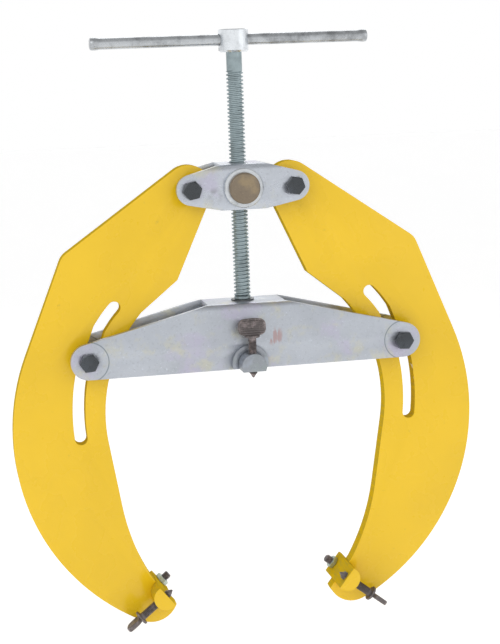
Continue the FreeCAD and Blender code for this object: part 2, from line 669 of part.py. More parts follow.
def hex_bolt(name, x, z):
    """A bolt that enters from the front, with its head on the front plate of a yoke."""
    head = prism(name + "_head", "Sizes.bolt_flats", "Sizes.bolt_head_height", "-Sizes.bolt_head_height")
    length = "2 * Places.yoke_half + Sizes.lock_nut_height + Sizes.bolt_end"
    shank = rod(name + "_shank", "Sizes.bolt_diameter / 2", length)
    piece = combine("Fuse", name, shank, head)
    return keep(place(piece, x, "-Places.yoke_half", z, TO_BACK))


def lock_nut(name, x, z):
    """A lock nut on the back plate of a yoke."""
    outside = prism(name + "_hex", "Sizes.bolt_flats", "Sizes.lock_nut_height")
    bore = rod(name + "_bore", "Sizes.bolt_diameter / 2", "Sizes.lock_nut_height + 2", "-1")
    piece = combine("Cut", name, outside, bore)
    return keep(place(piece, x, "Places.yoke_half", z, TO_BACK))


def spacers(name, x, z):
    """Two round spacers that keep an arm midway between the yoke plates."""
    bore = "Sizes.bolt_diameter / 2 + Sizes.hole_clearance"
    bar = rod(name + "_outside", "Sizes.spacer_radius", "Places.inner_width")
    gap = "Sizes.arm_thickness + 2 * Sizes.spacer_play"
    length = "Sizes.side_gap - Sizes.spacer_play"
    middle = rod(name + "_middle", "Sizes.spacer_radius + 1", gap, length)
    hole = rod(name + "_hole", bore, "Places.inner_width + 2", "-1")
    pair = combine("Cut", name + "_pair", bar, middle)
    piece = combine("Cut", name, pair, hole)
    return keep(place(piece, x, "-Places.inner_width / 2", z, TO_BACK))


def bolted_joints():
    """Pivot bolts in the upper yoke and slot bolts in the lower yoke, with what is on them."""
    for side, sign in (("left", "-"), ("right", "")):
        for where, x, z in (
            ("pivot", f"{sign}Places.pivot_x", "Places.trunnion_z"),
            ("slot", f"{sign}Places.slot_bolt_x", "Places.slot_bolt_z"),
        ):
            hex_bolt(f"{side}_{where}_bolt", x, z)
            lock_nut(f"{side}_{where}_lock_nut", x, z)
            spacers(f"{side}_{where}_spacers", x, z)
        bore = "Sizes.bolt_diameter / 2 + Sizes.fit_clearance"
        bush = washer(
            f"{side}_pivot_bush", bore, f"{bore} + Sizes.bush_wall", "Sizes.arm_thickness"
        )
        x = f"{sign}Places.pivot_x"
        keep(place(bush, x, "-Sizes.arm_thickness / 2", "Places.trunnion_z", TO_BACK))


# --------------------------------------------------------------------------- screw and trunnion
def lead_screw():
    """Plain journal at the bottom, thread, neck, and a spigot that fills the hub's bore."""
    web_top = "(Places.slot_bolt_z + Sizes.lower_web_rise)"
    shoulder = f"{web_top} + Sizes.washer_thickness + Sizes.end_play"
    below = "(Sizes.plate_thickness + Sizes.washer_thickness + Sizes.collar_height)"
    bottom = f"{web_top} - {below} - Sizes.end_play - Sizes.edge_chamfer"
    thread_top = "Places.trunnion_z + Sizes.thread_above"
    hub_under = "Places.trunnion_z + Sizes.hub_rise"
    hub_top = f"{hub_under} + Sizes.hub_height - Sizes.edge_chamfer"
    body = turned(
        "lead_screw",
        [
            ("0", bottom),
            ("Sizes.journal_radius", bottom),
            ("Sizes.journal_radius", shoulder),
            ("Sizes.screw_radius", shoulder),
            ("Sizes.screw_radius", thread_top),
            ("Sizes.neck_radius", thread_top),
            ("Sizes.neck_radius", hub_under),
            ("Sizes.spigot_radius", hub_under),
            ("Sizes.spigot_radius", hub_top),
            ("0", hub_top),
        ],
    )
    bar_z = f"{hub_under} + Sizes.hub_bar_rise"
    hole = "Sizes.bar_radius + Sizes.bar_clearance"
    hub_pin_z = f"{hub_under} + Sizes.hub_pin_rise"
    collar_pin_z = f"{bottom} + Sizes.edge_chamfer + Sizes.collar_height / 2"
    sketch = circle_sketch(
        body,
        "YZ_Plane",
        "lead_screw_cross_holes",
        [
            ("0", bar_z, hole),
            ("0", hub_pin_z, "Sizes.pin_radius"),
            ("0", collar_pin_z, "Sizes.pin_radius"),
        ],
    )
    pocket(body, sketch, "8 * Sizes.screw_radius", "lead_screw_cross_drilled")
    keep(body)
    return bar_z, hub_pin_z, collar_pin_z, hub_under, web_top


def screw_fittings(bar_z, hub_pin_z, collar_pin_z, hub_under, web_top):
    """Hub, handle bar, pins, collar and thrust washers."""
    chamfer = "Sizes.edge_chamfer"
    hub = turned(
        "handle_hub",
        [
            ("Sizes.spigot_radius", "0"),
            (f"Sizes.hub_radius - 2 * {chamfer}", "0"),
            ("Sizes.hub_radius", f"2 * {chamfer}"),
            ("Sizes.hub_radius", f"Sizes.hub_height - {chamfer}"),
            (f"Sizes.hub_radius - {chamfer}", "Sizes.hub_height"),
            ("Sizes.spigot_radius", "Sizes.hub_height"),
        ],
    )
    hole = "Sizes.bar_radius + Sizes.bar_clearance"
    circles = [
        ("0", "Sizes.hub_bar_rise", hole),
        ("0", "Sizes.hub_pin_rise", "Sizes.pin_radius"),
    ]
    sketch = circle_sketch(hub, "YZ_Plane", "handle_hub_cross_holes", circles)
    pocket(hub, sketch, "4 * Sizes.hub_radius", "handle_hub_cross_drilled")
    keep(place(hub, z=hub_under))

    pin = rod("hub_pin", "Sizes.pin_radius", "2 * Sizes.hub_radius - 2 * Sizes.edge_chamfer")
    pin.Label = "hub_pin"
    keep(place(pin, f"-Sizes.hub_radius + {chamfer}", "0", hub_pin_z, TO_RIGHT))

    plain = "Sizes.bar_radius"
    big = "Sizes.bar_end_radius"
    end = "Sizes.bar_end_length"
    bar = turned(
        "handle_bar",
        [
            ("0", "0"),
            (f"{big} - {chamfer}", "0"),
            (big, chamfer),
            (big, end),
            (plain, f"{end} + {chamfer}"),
            (plain, f"Sizes.bar_length - {end} - {chamfer}"),
            (big, f"Sizes.bar_length - {end}"),
            (big, f"Sizes.bar_length - {chamfer}"),
            (f"{big} - {chamfer}", "Sizes.bar_length"),
            ("0", "Sizes.bar_length"),
        ],
    )
    keep(place(bar, "Sizes.bar_offset - Sizes.bar_length / 2", "0", bar_z, TO_RIGHT))

    bore = "Sizes.journal_radius + Sizes.fit_clearance"
    top = washer("upper_thrust_washer", bore, "Sizes.washer_radius", "Sizes.washer_thickness")
    keep(place(top, z=web_top))
    low = washer("lower_thrust_washer", bore, "Sizes.collar_radius", "Sizes.washer_thickness")
    keep(place(low, z=f"{web_top} - Sizes.plate_thickness - Sizes.washer_thickness"))

    collar = washer("retaining_collar", bore, "Sizes.collar_radius", "Sizes.collar_height")
    middle = ("0", "Sizes.collar_height / 2", "Sizes.pin_radius")
    sketch = circle_sketch(collar, "YZ_Plane", "retaining_collar_cross_hole", [middle])
    pocket(collar, sketch, "4 * Sizes.collar_radius", "retaining_collar_cross_drilled")
    keep(place(collar, z=f"{collar_pin_z} - Sizes.collar_height / 2"))
    pin = rod("collar_pin", "Sizes.pin_radius", "2 * Sizes.collar_radius")
    pin.Label = "collar_pin"
    keep(place(pin, "-Sizes.collar_radius", "0", collar_pin_z, TO_RIGHT))


def trunnion():
    """The bronze cross nut that runs on the screw, and the rings welded round its ends."""
    chamfer = "Sizes.edge_chamfer"
    half = "(Places.yoke_half + Sizes.trunnion_beside)"
    nut = turned(
        "trunnion_nut",
        [
            ("0", f"-{half}"),
            (f"Sizes.trunnion_radius - {chamfer}", f"-{half}"),
            ("Sizes.trunnion_radius", f"-{half} + {chamfer}"),
            ("Sizes.trunnion_radius", f"{half} - {chamfer}"),
            (f"Sizes.trunnion_radius - {chamfer}", half),
            ("0", half),
        ],
    )
    thread = ("0", "0", "Sizes.screw_radius + Sizes.fit_clearance")
    sketch = circle_sketch(nut, "XZ_Plane", "trunnion_nut_thread_bore", [thread])
    pocket(nut, sketch, "4 * Sizes.trunnion_radius", "trunnion_nut_threaded")
    keep(place(nut, z="Places.trunnion_z", rotation=TO_BACK))
    for name, y, turn in (
        ("front_trunnion_ring", "-Places.yoke_half", TO_FRONT),
        ("rear_trunnion_ring", "Places.yoke_half", TO_BACK),
    ):
        bore = "Sizes.trunnion_radius + Sizes.fit_clearance"
        ring = turned(
            name,
            [
                (bore, "0"),
                ("Sizes.ring_radius", "0"),
                ("Sizes.ring_radius", f"Sizes.ring_height - {chamfer}"),
                (f"Sizes.ring_radius - {chamfer}", "Sizes.ring_height"),
                (bore, "Sizes.ring_height"),
            ],
        )
        keep(place(ring, "0", y, "Places.trunnion_z", turn))


# --------------------------------------------------------------------------- contacts
def contact_bar(name, half_length, flat, screw_out, x, z, turn):
    """A round bar with one side cut flat.  Its own frame has the bar along Y, the flat facing -Z,
    the thumb screw in front and the fixed contact behind."""
    body = doc.addObject("PartDesign::Body", name)
    body.Label = name
    sketch = circle_sketch(body, "XZ_Plane", name + "_round", [("0", "0", "Sizes.stock_radius")])
    pad(body, sketch, f"2 * {half_length}", name + "_stock")
    wide = "2 * Sizes.stock_radius"
    corners = [(f"-{wide}", f"-{wide}"), (wide, f"-{wide}"), (wide, f"-{flat}"), (f"-{wide}", f"-{flat}")]
    sketch = polygon_sketch(body, "XZ_Plane", name + "_flat", corners)
    pocket(body, sketch, f"2 * {half_length} + 2", name + "_flat_cut")
    bore = "Sizes.contact_radius + Sizes.fit_clearance"
    circles = [("0", f"-{screw_out}", bore), ("0", screw_out, bore)]
    sketch = circle_sketch(body, "XY_Plane", name + "_tapped", circles)
    pocket(body, sketch, "4 * Sizes.stock_radius", name + "_drilled")
    return keep(place(body, x, "0", z, turn))


def thumb_screw(name, spade_turn, offset, x, z, turn):
    """Pointed screw with a flange and a flat spade head.  Its own frame has the tip at the origin,
    the head up +Z and the spade across X."""
    reach = "Sizes.thumb_reach"
    body = turned(
        name,
        [
            ("0", "0"),
            ("Sizes.thumb_point_radius", "0"),
            ("Sizes.contact_radius", "Sizes.thumb_cone"),
            ("Sizes.contact_radius", reach),
            ("Sizes.flange_radius", reach),
            ("Sizes.flange_radius", f"{reach} + Sizes.flange_height"),
            ("0", f"{reach} + Sizes.flange_height"),
        ],
    )
    low = f"{reach} + Sizes.flange_height / 2"
    high = f"{reach} + Sizes.flange_height + Sizes.spade_height"
    half = "Sizes.spade_width / 2"
    corner = "Sizes.spade_round"
    sketch = rounded_sketch(body, "XZ_Plane", name + "_spade", half, low, high, corner)
    pad(body, sketch, "Sizes.spade_thickness", name + "_spade_head")
    rotation = turn.multiply(App.Rotation(Vec(0, 0, 1), spade_turn))
    return keep(place(body, x, f"-{offset}", z, rotation))


def fixed_contact(name, offset, stickout, depth, flat, x, z, turn):
    """A plain threaded contact, in a frame with the bar's axis at the origin and the pipe at -Z."""
    chamfer = "Sizes.edge_chamfer"
    low = f"-({flat}) - {stickout}"
    body = turned(
        name,
        [
            ("0", low),
            (f"Sizes.contact_radius - {chamfer}", low),
            ("Sizes.contact_radius", f"{low} + {chamfer}"),
            ("Sizes.contact_radius", depth),
            ("0", depth),
        ],
    )
    return keep(place(body, x, offset, z, turn))


def jam_nut(name, offset, base, x, z, turn):
    """A thin nut that locks a fixed contact.  base is its lower face in the bar's frame."""
    height = "Sizes.jam_nut_height"
    outside = prism(name + "_hex", "Sizes.jam_nut_flats", height, base)
    bore = rod(name + "_bore", "Sizes.contact_radius", f"{height} + 2", f"{base} - 1")
    piece = combine("Cut", name, outside, bore)
    return keep(place(piece, x, offset, z, turn))


def centre_contacts():
    """The half-round bar across the lower yoke, its welded rings and its two contacts."""
    contact_bar(
        "centre_contact_bar",
        "Places.centre_bar_half",
        "Sizes.centre_flat",
        "Places.centre_screw_y",
        "0",
        "Places.centre_bar_z",
        UPRIGHT,
    )
    body = doc.addObject("PartDesign::Body", "centre_bar_rings")
    body.Label = "centre_bar_rings"
    outside = ("0", "0", "Sizes.collar_ring_radius")
    bore = ("0", "0", "Sizes.stock_radius + Sizes.weld_gap")
    sketch = circle_sketch(body, "XZ_Plane", "centre_bar_rings_round", [outside, bore])
    width = "2 * (Places.yoke_half + Sizes.collar_ring_height)"
    pad(body, sketch, width, "centre_bar_rings_stock")
    wide = "2 * Sizes.collar_ring_radius"
    flat = "-Sizes.centre_flat"
    corners = [(f"-{wide}", f"-{wide}"), (wide, f"-{wide}"), (wide, flat), (f"-{wide}", flat)]
    sketch = polygon_sketch(body, "XZ_Plane", "centre_bar_rings_flat", corners)
    pocket(body, sketch, f"{width} + 2", "centre_bar_rings_flat_cut")
    corners = [(f"-{wide}", f"-{wide}"), (wide, f"-{wide}"), (wide, wide), (f"-{wide}", wide)]
    sketch = polygon_sketch(body, "XZ_Plane", "centre_bar_rings_between", corners)
    pocket(body, sketch, "2 * Places.yoke_half", "centre_bar_rings_parted")
    keep(place(body, "0", "0", "Places.centre_bar_z", UPRIGHT))
    thumb_screw(
        "centre_thumb_screw", 0, "Places.centre_screw_y", "0", "Sizes.seat_radius", UPRIGHT
    )
    where = ("0", "Places.centre_bar_z", UPRIGHT)
    fixed_contact(
        "centre_fixed_contact",
        "Places.centre_screw_y",
        "Sizes.centre_stud_stickout",
        "Sizes.centre_stud_rise",
        "Sizes.centre_flat",
        *where,
    )
    jam_nut("centre_jam_nut", "Places.centre_screw_y", "Sizes.stock_radius + 0.3", *where)


def tip_contacts(side, sign):
    """The half-round bar at the end of an arm, with its thumb screw and fixed contact."""
    turn = App.Rotation(Vec(0, 1, 0), (180 - S.tip_tilt) * sign)
    mark = "-" if sign < 0 else ""
    where = (f"{mark}Places.tip_bar_x", "Places.tip_bar_z", turn)
    contact_bar(
        f"{side}_contact_bar",
        "Places.tip_bar_half",
        "Sizes.tip_flat",
        "Places.tip_screw_y",
        *where,
    )
    fixed_contact(
        f"{side}_fixed_contact",
        "Places.tip_screw_y",
        "Sizes.stud_stickout",
        "Sizes.stud_depth",
        "Sizes.tip_flat",
        *where,
    )
    base = "-Sizes.tip_flat - Sizes.jam_nut_height"
    jam_nut(f"{side}_jam_nut", "Places.tip_screw_y", base, *where)
    tip_x = f"{mark}Sizes.seat_radius * sin(Sizes.tip_spread * 1deg)"
    tip_z = "-Sizes.seat_radius * cos(Sizes.tip_spread * 1deg)"
    spade = {"left": S.left_spade_turn, "right": S.right_spade_turn}[side]
    thumb_screw(f"{side}_thumb_screw", spade, "Places.tip_screw_y", tip_x, tip_z, turn)


# --------------------------------------------------------------------------- assembly
def build():
    bolt_hole = "Sizes.bolt_diameter / 2 + Sizes.hole_clearance"
    yoke(
        "lower_yoke",
        "Places.slot_bolt_x",
        "Places.slot_bolt_z",
        "Sizes.lower_end_radius",
        "Sizes.lower_web_half",
        "Sizes.lower_web_rise",
        None,
        [
            ("Places.slot_bolt_x", "Places.slot_bolt_z", bolt_hole),
            ("-Places.slot_bolt_x", "Places.slot_bolt_z", bolt_hole),
            ("0", "Places.centre_bar_z", "Sizes.stock_radius + Sizes.weld_gap"),
        ],
        "Sizes.journal_radius + Sizes.fit_clearance",
    )
    yoke(
        "upper_yoke",
        "Places.pivot_x",
        "Places.trunnion_z",
        "Sizes.upper_end_radius",
        "Sizes.upper_web_half",
        "Sizes.upper_web_rise",
        ("Sizes.upper_bottom_half", "Sizes.upper_bottom_drop"),
        [
            ("Places.pivot_x", "Places.trunnion_z", bolt_hole),
            ("-Places.pivot_x", "Places.trunnion_z", bolt_hole),
            ("0", "Places.trunnion_z", "Sizes.trunnion_radius + Sizes.fit_clearance"),
        ],
        "Sizes.screw_radius + 2 * Sizes.edge_chamfer",
    )
    arm("right_arm", False)
    arm("left_arm", True)
    bolted_joints()
    screw_fittings(*lead_screw())
    trunnion()
    centre_contacts()
    tip_contacts("left", -1)
    tip_contacts("right", 1)
    doc.recompute()


def check():
    """Stops before anything is written if any object failed or any sub-part is not sound."""
    for item in doc.Objects:
        if "Invalid" in item.State or "Error" in item.State:
            raise RuntimeError(f"{item.Label} failed: {item.State}")
    for piece in PIECES:
        if piece.Shape.isNull() or not piece.Shape.isValid() or not piece.Shape.Solids:
            raise RuntimeError(f"{piece.Label} has no sound solid")


def export():
    os.makedirs("parts", exist_ok=True)
    for piece in PIECES:
        piece.Shape.exportStep(os.path.join("parts", piece.Label + ".step"))
        print(piece.Label, round(piece.Shape.Volume), len(piece.Shape.Solids))


build()
check()
export()
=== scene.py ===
"""Looks of a screw-operated pipe clamp, laid out as an add-on.

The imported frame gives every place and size.  Each operator models or finishes one group of pieces.
Lengths here are metres and angles are radians.  +Z runs along the lead screw to the handle, +X to
the right arm and +Y to the back.
"""

import json
import math

import bmesh
import bpy
from bpy.props import FloatProperty, FloatVectorProperty, IntProperty, PointerProperty
from mathutils import Matrix, Vector


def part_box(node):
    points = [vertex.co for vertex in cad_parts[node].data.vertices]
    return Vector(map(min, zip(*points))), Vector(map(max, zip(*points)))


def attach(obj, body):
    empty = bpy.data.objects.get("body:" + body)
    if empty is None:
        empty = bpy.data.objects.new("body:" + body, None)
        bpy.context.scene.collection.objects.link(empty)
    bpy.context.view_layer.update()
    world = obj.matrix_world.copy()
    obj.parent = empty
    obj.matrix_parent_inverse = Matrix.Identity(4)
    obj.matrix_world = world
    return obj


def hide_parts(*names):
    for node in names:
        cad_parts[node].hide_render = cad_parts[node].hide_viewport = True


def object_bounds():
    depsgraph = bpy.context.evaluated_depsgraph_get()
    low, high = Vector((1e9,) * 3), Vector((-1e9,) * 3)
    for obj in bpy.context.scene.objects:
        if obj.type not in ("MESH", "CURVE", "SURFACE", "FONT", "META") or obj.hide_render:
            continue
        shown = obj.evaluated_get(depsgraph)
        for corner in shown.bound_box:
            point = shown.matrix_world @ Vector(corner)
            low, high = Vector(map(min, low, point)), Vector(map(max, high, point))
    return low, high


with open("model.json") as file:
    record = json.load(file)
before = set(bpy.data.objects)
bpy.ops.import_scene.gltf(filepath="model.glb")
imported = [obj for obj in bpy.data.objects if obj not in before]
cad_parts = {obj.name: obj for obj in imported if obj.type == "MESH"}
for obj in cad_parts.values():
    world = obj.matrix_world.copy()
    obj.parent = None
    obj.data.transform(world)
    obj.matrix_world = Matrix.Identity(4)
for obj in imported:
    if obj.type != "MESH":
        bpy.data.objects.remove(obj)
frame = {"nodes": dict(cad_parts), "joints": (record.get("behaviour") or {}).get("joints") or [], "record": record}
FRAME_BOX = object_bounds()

bl_info = {
    "name": "Pipe Clamp",
    "version": (1, 0, 0),
    "blender": (4, 5, 0),
    "location": "3D View > Sidebar > Clamp",
    "description": "Models and finishes a screw-operated pipe clamp",
    "category": "Object",
}

SIDES = ("left", "right")
TURN = 2 * math.pi
CAMERA_PLACE = (-0.3500, -1.7312, 0.4982)
CAMERA_RIGHT = (0.9775, -0.2080, -0.0347)
CAMERA_FORWARD = (0.1996, 0.9657, -0.1662)
LENS = 86.594  # millimetres, on a sensor 36 mm wide
TIP_SPREAD = math.radians(44.2)  # from straight down to each arm's contact, at the pipe axis
HEAD_TURNS = {"centre": 0.0, "left": 102.0, "right": 84.0}  # degrees, thumb screw heads as stored
BOLT_TURNS = (("pivot", 11.0), ("slot", 4.0))  # degrees, bolt heads as tightened


# ------------------------------------------------------------------------------- settings
def length(label, text, size):
    """A length of the clamp, in metres."""
    return FloatProperty(name=label, description=text, default=size, unit="LENGTH", precision=5)


def colour(label, text, value):
    """A linear colour."""
    return FloatVectorProperty(
        name=label, description=text, default=value, subtype="COLOR", size=3, min=0, max=1
    )


class ClampSizes(bpy.types.PropertyGroup):
    """Detail sizes that the frame does not carry."""

    plate_round: length("Plate edge round", "Round of the arm and yoke edges", 0.0007)
    bar_round: length("Bar edge round", "Round of the contact bar edges", 0.0008)
    screw_pitch: length("Lead screw pitch", "Advance of the lead screw in one turn", 0.0042333)
    screw_depth: length("Lead screw thread depth", "Crest to root of the lead screw", 0.0021)
    fine_pitch: length("Thumb screw pitch", "Pitch of the three-eighths threads", 0.0015875)
    fine_depth: length("Thumb screw thread depth", "Crest to root of the small threads", 0.00095)
    bolt_pitch: length("Bolt pitch", "Pitch of the half-inch bolts", 0.0019538)
    bolt_depth: length("Bolt thread depth", "Crest to root of the half-inch bolts", 0.0011)
    bolt_radius: length("Bolt radius", "Shank of the half-inch bolts", 0.00635)
    bolt_flats: length("Bolt flats", "Bolt heads and lock nuts across flats", 0.01905)
    jam_flats: length("Jam nut flats", "Jam nuts across flats", 0.0143)
    contact_radius: length("Contact radius", "Thumb screws and fixed contacts", 0.00476)
    screw_inset: length("Screw inset", "End of an arm's contact bar to its thumb screw", 0.0085)
    thumb_reach: length("Thumb reach", "Tip of a thumb screw to its flange", 0.0463)
    flange_radius: length("Flange radius", "Thumb screw flange", 0.00875)
    head_half: length("Head half width", "Half width of a thumb screw head", 0.0160)
    head_height: length("Head height", "Thumb screw head", 0.0200)
    head_thickness: length("Head thickness", "Thumb screw head", 0.0055)
    journal_radius: length("Journal radius", "Plain end of the lead screw", 0.00635)
    neck_radius: length("Neck radius", "Plain neck under the hub", 0.0088)
    spigot_radius: length("Spigot radius", "Lead screw inside the hub", 0.0080)
    bar_radius: length("Bar radius", "Handle bar", 0.00635)
    # Radius of the painted crease shade round each slot bolt
    ear_line: length("Ear line", "Radius of the line round each slot bolt", 0.0226)
    floor_gap: length("Floor gap", "Floor under the clamp, clear of the open arms", 0.060)
    rib_depth: length("Rib depth", "Grooves across the thumb screw heads", 0.0009)
    rib_count: IntProperty(
        name="Ribs", description="Ribs across each thumb screw head", default=6, min=2, max=12
    )


class ClampColours(bpy.types.PropertyGroup):
    """Finishes of the clamp."""

    enamel: colour("Enamel", "Yellow enamel of the arms", (0.88, 0.565, 0.012))
    # Darker enamel for scuffs and specks, and painted shade on the side walls of the arms and bars
    enamel_wear_and_wall_shade: colour("Enamel on cut edges", "Duller enamel on sawn walls", (0.50, 0.35, 0.030))
    zinc: colour("Zinc plate", "Plated yokes", (0.50, 0.53, 0.58))
    lavender: colour("Zinc, lavender", "Mauve cast of the plating", (0.50, 0.47, 0.60))
    straw: colour("Zinc, straw", "Yellow cast of the plating", (0.56, 0.55, 0.44))
    screw: colour("Lead screw", "Blue-grey plating of the screw", (0.34, 0.41, 0.43))
    bright: colour("Bright steel", "Hub and handle bar", (0.70, 0.73, 0.76))
    bronze: colour("Bronze", "Trunnion nut and bushes", (0.24, 0.195, 0.145))
    nut: colour("Fastener plate", "Bolts and nuts", (0.22, 0.24, 0.26))
    jam_nut: colour("Jam nut plate", "Pale green plate of the jam nuts", (0.50, 0.57, 0.50))
    black: colour("Black oxide", "Thumb screws and contacts", (0.150, 0.132, 0.130))
    worn: colour("Worn black", "Ribs where the oxide has worn", (0.56, 0.47, 0.47))


# ------------------------------------------------------------------------------- mesh helpers
def sizes():
    return bpy.context.scene.clamp_sizes


def colours():
    return bpy.context.scene.clamp_colours


def finish_mesh(bm, name, place=None, smooth=40):
    """Makes an object at the origin from a bmesh, with its place in its mesh and normals outward."""
    if place is not None:
        bmesh.ops.transform(bm, matrix=place, verts=bm.verts)
    bmesh.ops.remove_doubles(bm, verts=bm.verts, dist=1e-6)
    bmesh.ops.recalc_face_normals(bm, faces=bm.faces)
    mesh = bpy.data.meshes.new(name)
    bm.to_mesh(mesh)
    bm.free()
    piece = bpy.data.objects.new(name, mesh)
    bpy.context.scene.collection.objects.link(piece)
    mesh.shade_smooth()
    mesh.set_sharp_from_angle(angle=math.radians(smooth))
    return piece


def turned(bm, profile, steps=64):
    """Spins a half section of (radius, height) points about Z into a closed solid."""
    points = [bm.verts.new((radius, 0, height)) for radius, height in profile]
    edges = [bm.edges.new(pair) for pair in zip(points, points[1:])]
    bmesh.ops.spin(
        bm,
        geom=points + edges,
        cent=(0, 0, 0),
        axis=(0, 0, 1),
        angle=TURN,
        steps=steps,
        use_merge=True,
    )
    bmesh.ops.remove_doubles(bm, verts=bm.verts, dist=1e-7)
    return bm


def threaded_rod(bm, radius, depth, pitch, low, high, steps=36, flat=0.36):
    """A helical thread from low to high, closed flat at both ends."""
    shell = bmesh.new()
    root = radius - depth
    side = (1 - 2 * flat) / 2
    marks_and_shade = [(root, 0), (root, flat), (radius, flat + side), (radius, 2 * flat + side), (root, 1)]
    start = low - 1.5 * pitch
    points = [shell.verts.new((r, 0, start + pitch * part)) for r, part in marks_and_shade]
    edges = [shell.edges.new(pair) for pair in zip(points, points[1:])]
    turns = math.ceil((high - start) / pitch) + 1
    bmesh.ops.spin(
        shell,
        geom=points + edges,
        cent=(0, 0, 0),
        axis=(0, 0, 1),
        dvec=(0, 0, pitch / steps),
        angle=TURN * turns,
        steps=steps * turns,
        use_merge=False,
    )
    bmesh.ops.remove_doubles(shell, verts=shell.verts, dist=pitch * 0.01)
    for level, side in ((low, -1), (high, 1)):
        bmesh.ops.bisect_plane(
            shell,
            geom=shell.verts[:] + shell.edges[:] + shell.faces[:],
            plane_co=(0, 0, level),
            plane_no=(0, 0, side),
            clear_outer=True,
            dist=1e-7,
        )
    rims = [edge for edge in shell.edges if edge.is_boundary]
    bmesh.ops.holes_fill(shell, edges=rims, sides=0)
    join(bm, shell)
    return bm


def join(bm, other):
    """Adds a second closed shell to a bmesh."""
    spare = bpy.data.meshes.new("spare")
    other.to_mesh(spare)
    other.free()
    bm.from_mesh(spare)
    bpy.data.meshes.remove(spare)


def hexagon(bm, flats, low, high, cut_low, cut_high, segments=60):
    """A hexagon along Z whose corners are turned off at 30 degrees on the ends that are cut."""
    apothem = flats / 2
    shell = bmesh.new()
    bmesh.ops.create_circle(shell, cap_ends=True, radius=apothem, segments=segments)
    face = shell.faces[:]
    bmesh.ops.translate(shell, verts=shell.verts, vec=(0, 0, low))
    inner = apothem * 0.93
    rings = [(inner, low, 0), (None, low, cut_low), (None, high, cut_high), (inner, high, 0)]
    for radius, level, cut in rings:
        if radius is not None and level == low:
            scale_ring(face, radius / apothem, level)
            continue
        face = raise_cap(shell, face)
        for vert in {v for f in face for v in f.verts}:
            angle = math.atan2(vert.co.y, vert.co.x)
            reach = radius or apothem / math.cos((angle % (TURN / 6)) - TURN / 12)
            vert.co.x = reach * math.cos(angle)
            vert.co.y = reach * math.sin(angle)
            slope = (reach - inner) * math.tan(math.radians(30)) if cut else 0
            vert.co.z = level + (slope if level == low else -slope)
    join(bm, shell)
    return bm


def scale_ring(faces, factor, level):
    """Scales the outline of a flat cap about the Z axis."""
    verts = {v for f in faces for v in f.verts}
    for vert in verts:
        vert.co = Vector((vert.co.x * factor, vert.co.y * factor, level))


def raise_cap(bm, faces):
    """Extrudes a cap along its own edge and returns the new cap."""
    made = bmesh.ops.extrude_face_region(bm, geom=faces)["geom"]
    return [item for item in made if isinstance(item, bmesh.types.BMFace)]


def rounded_copy(node, width, segments=2, angle=30):
    """A copy of a CAD node with its doubles merged and its sharp edges rounded."""
    bm = bmesh.new()
    bm.from_mesh(frame["nodes"][node].data)
    bmesh.ops.remove_doubles(bm, verts=bm.verts, dist=1e-6)
    bmesh.ops.dissolve_limit(
        bm, angle_limit=math.radians(0.5), verts=bm.verts, edges=bm.edges, delimit=set()
    )
    sharp = [
        edge
        for edge in bm.edges
        if edge.is_manifold and edge.calc_face_angle(0) > math.radians(angle)
    ]
    bmesh.ops.bevel(
        bm,
        geom=sharp,
        offset=width,
        offset_type="OFFSET",
        affect="EDGES",
        segments=segments,
        profile=0.5,
        material=-1,
        clamp_overlap=True,
    )
    return bm


def along(node):
    """Centre of a CAD node's box at rest."""
    low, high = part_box(node)
    return (low + high) / 2


TO_FRONT = Matrix.Rotation(math.radians(90), 4, "X")  # local +Z points to the front, -Y
TO_BACK = Matrix.Rotation(math.radians(-90), 4, "X")  # local +Z points to the back, +Y
TO_RIGHT = Matrix.Rotation(math.radians(90), 4, "Y")  # local +Z points right, +X


def stand_in(piece, node, material):
    """The piece takes over a CAD node: its body and its place in the frame."""
    for name, entry in frame["record"]["behaviour"]["bodies"].items():
        if node in entry:
            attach(piece, name)
    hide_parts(node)
    wear(piece, material)
    return piece


def wear(piece, material):
    """Puts one material all over a piece."""
    piece.data.materials.clear()
    piece.data.materials.append(material)


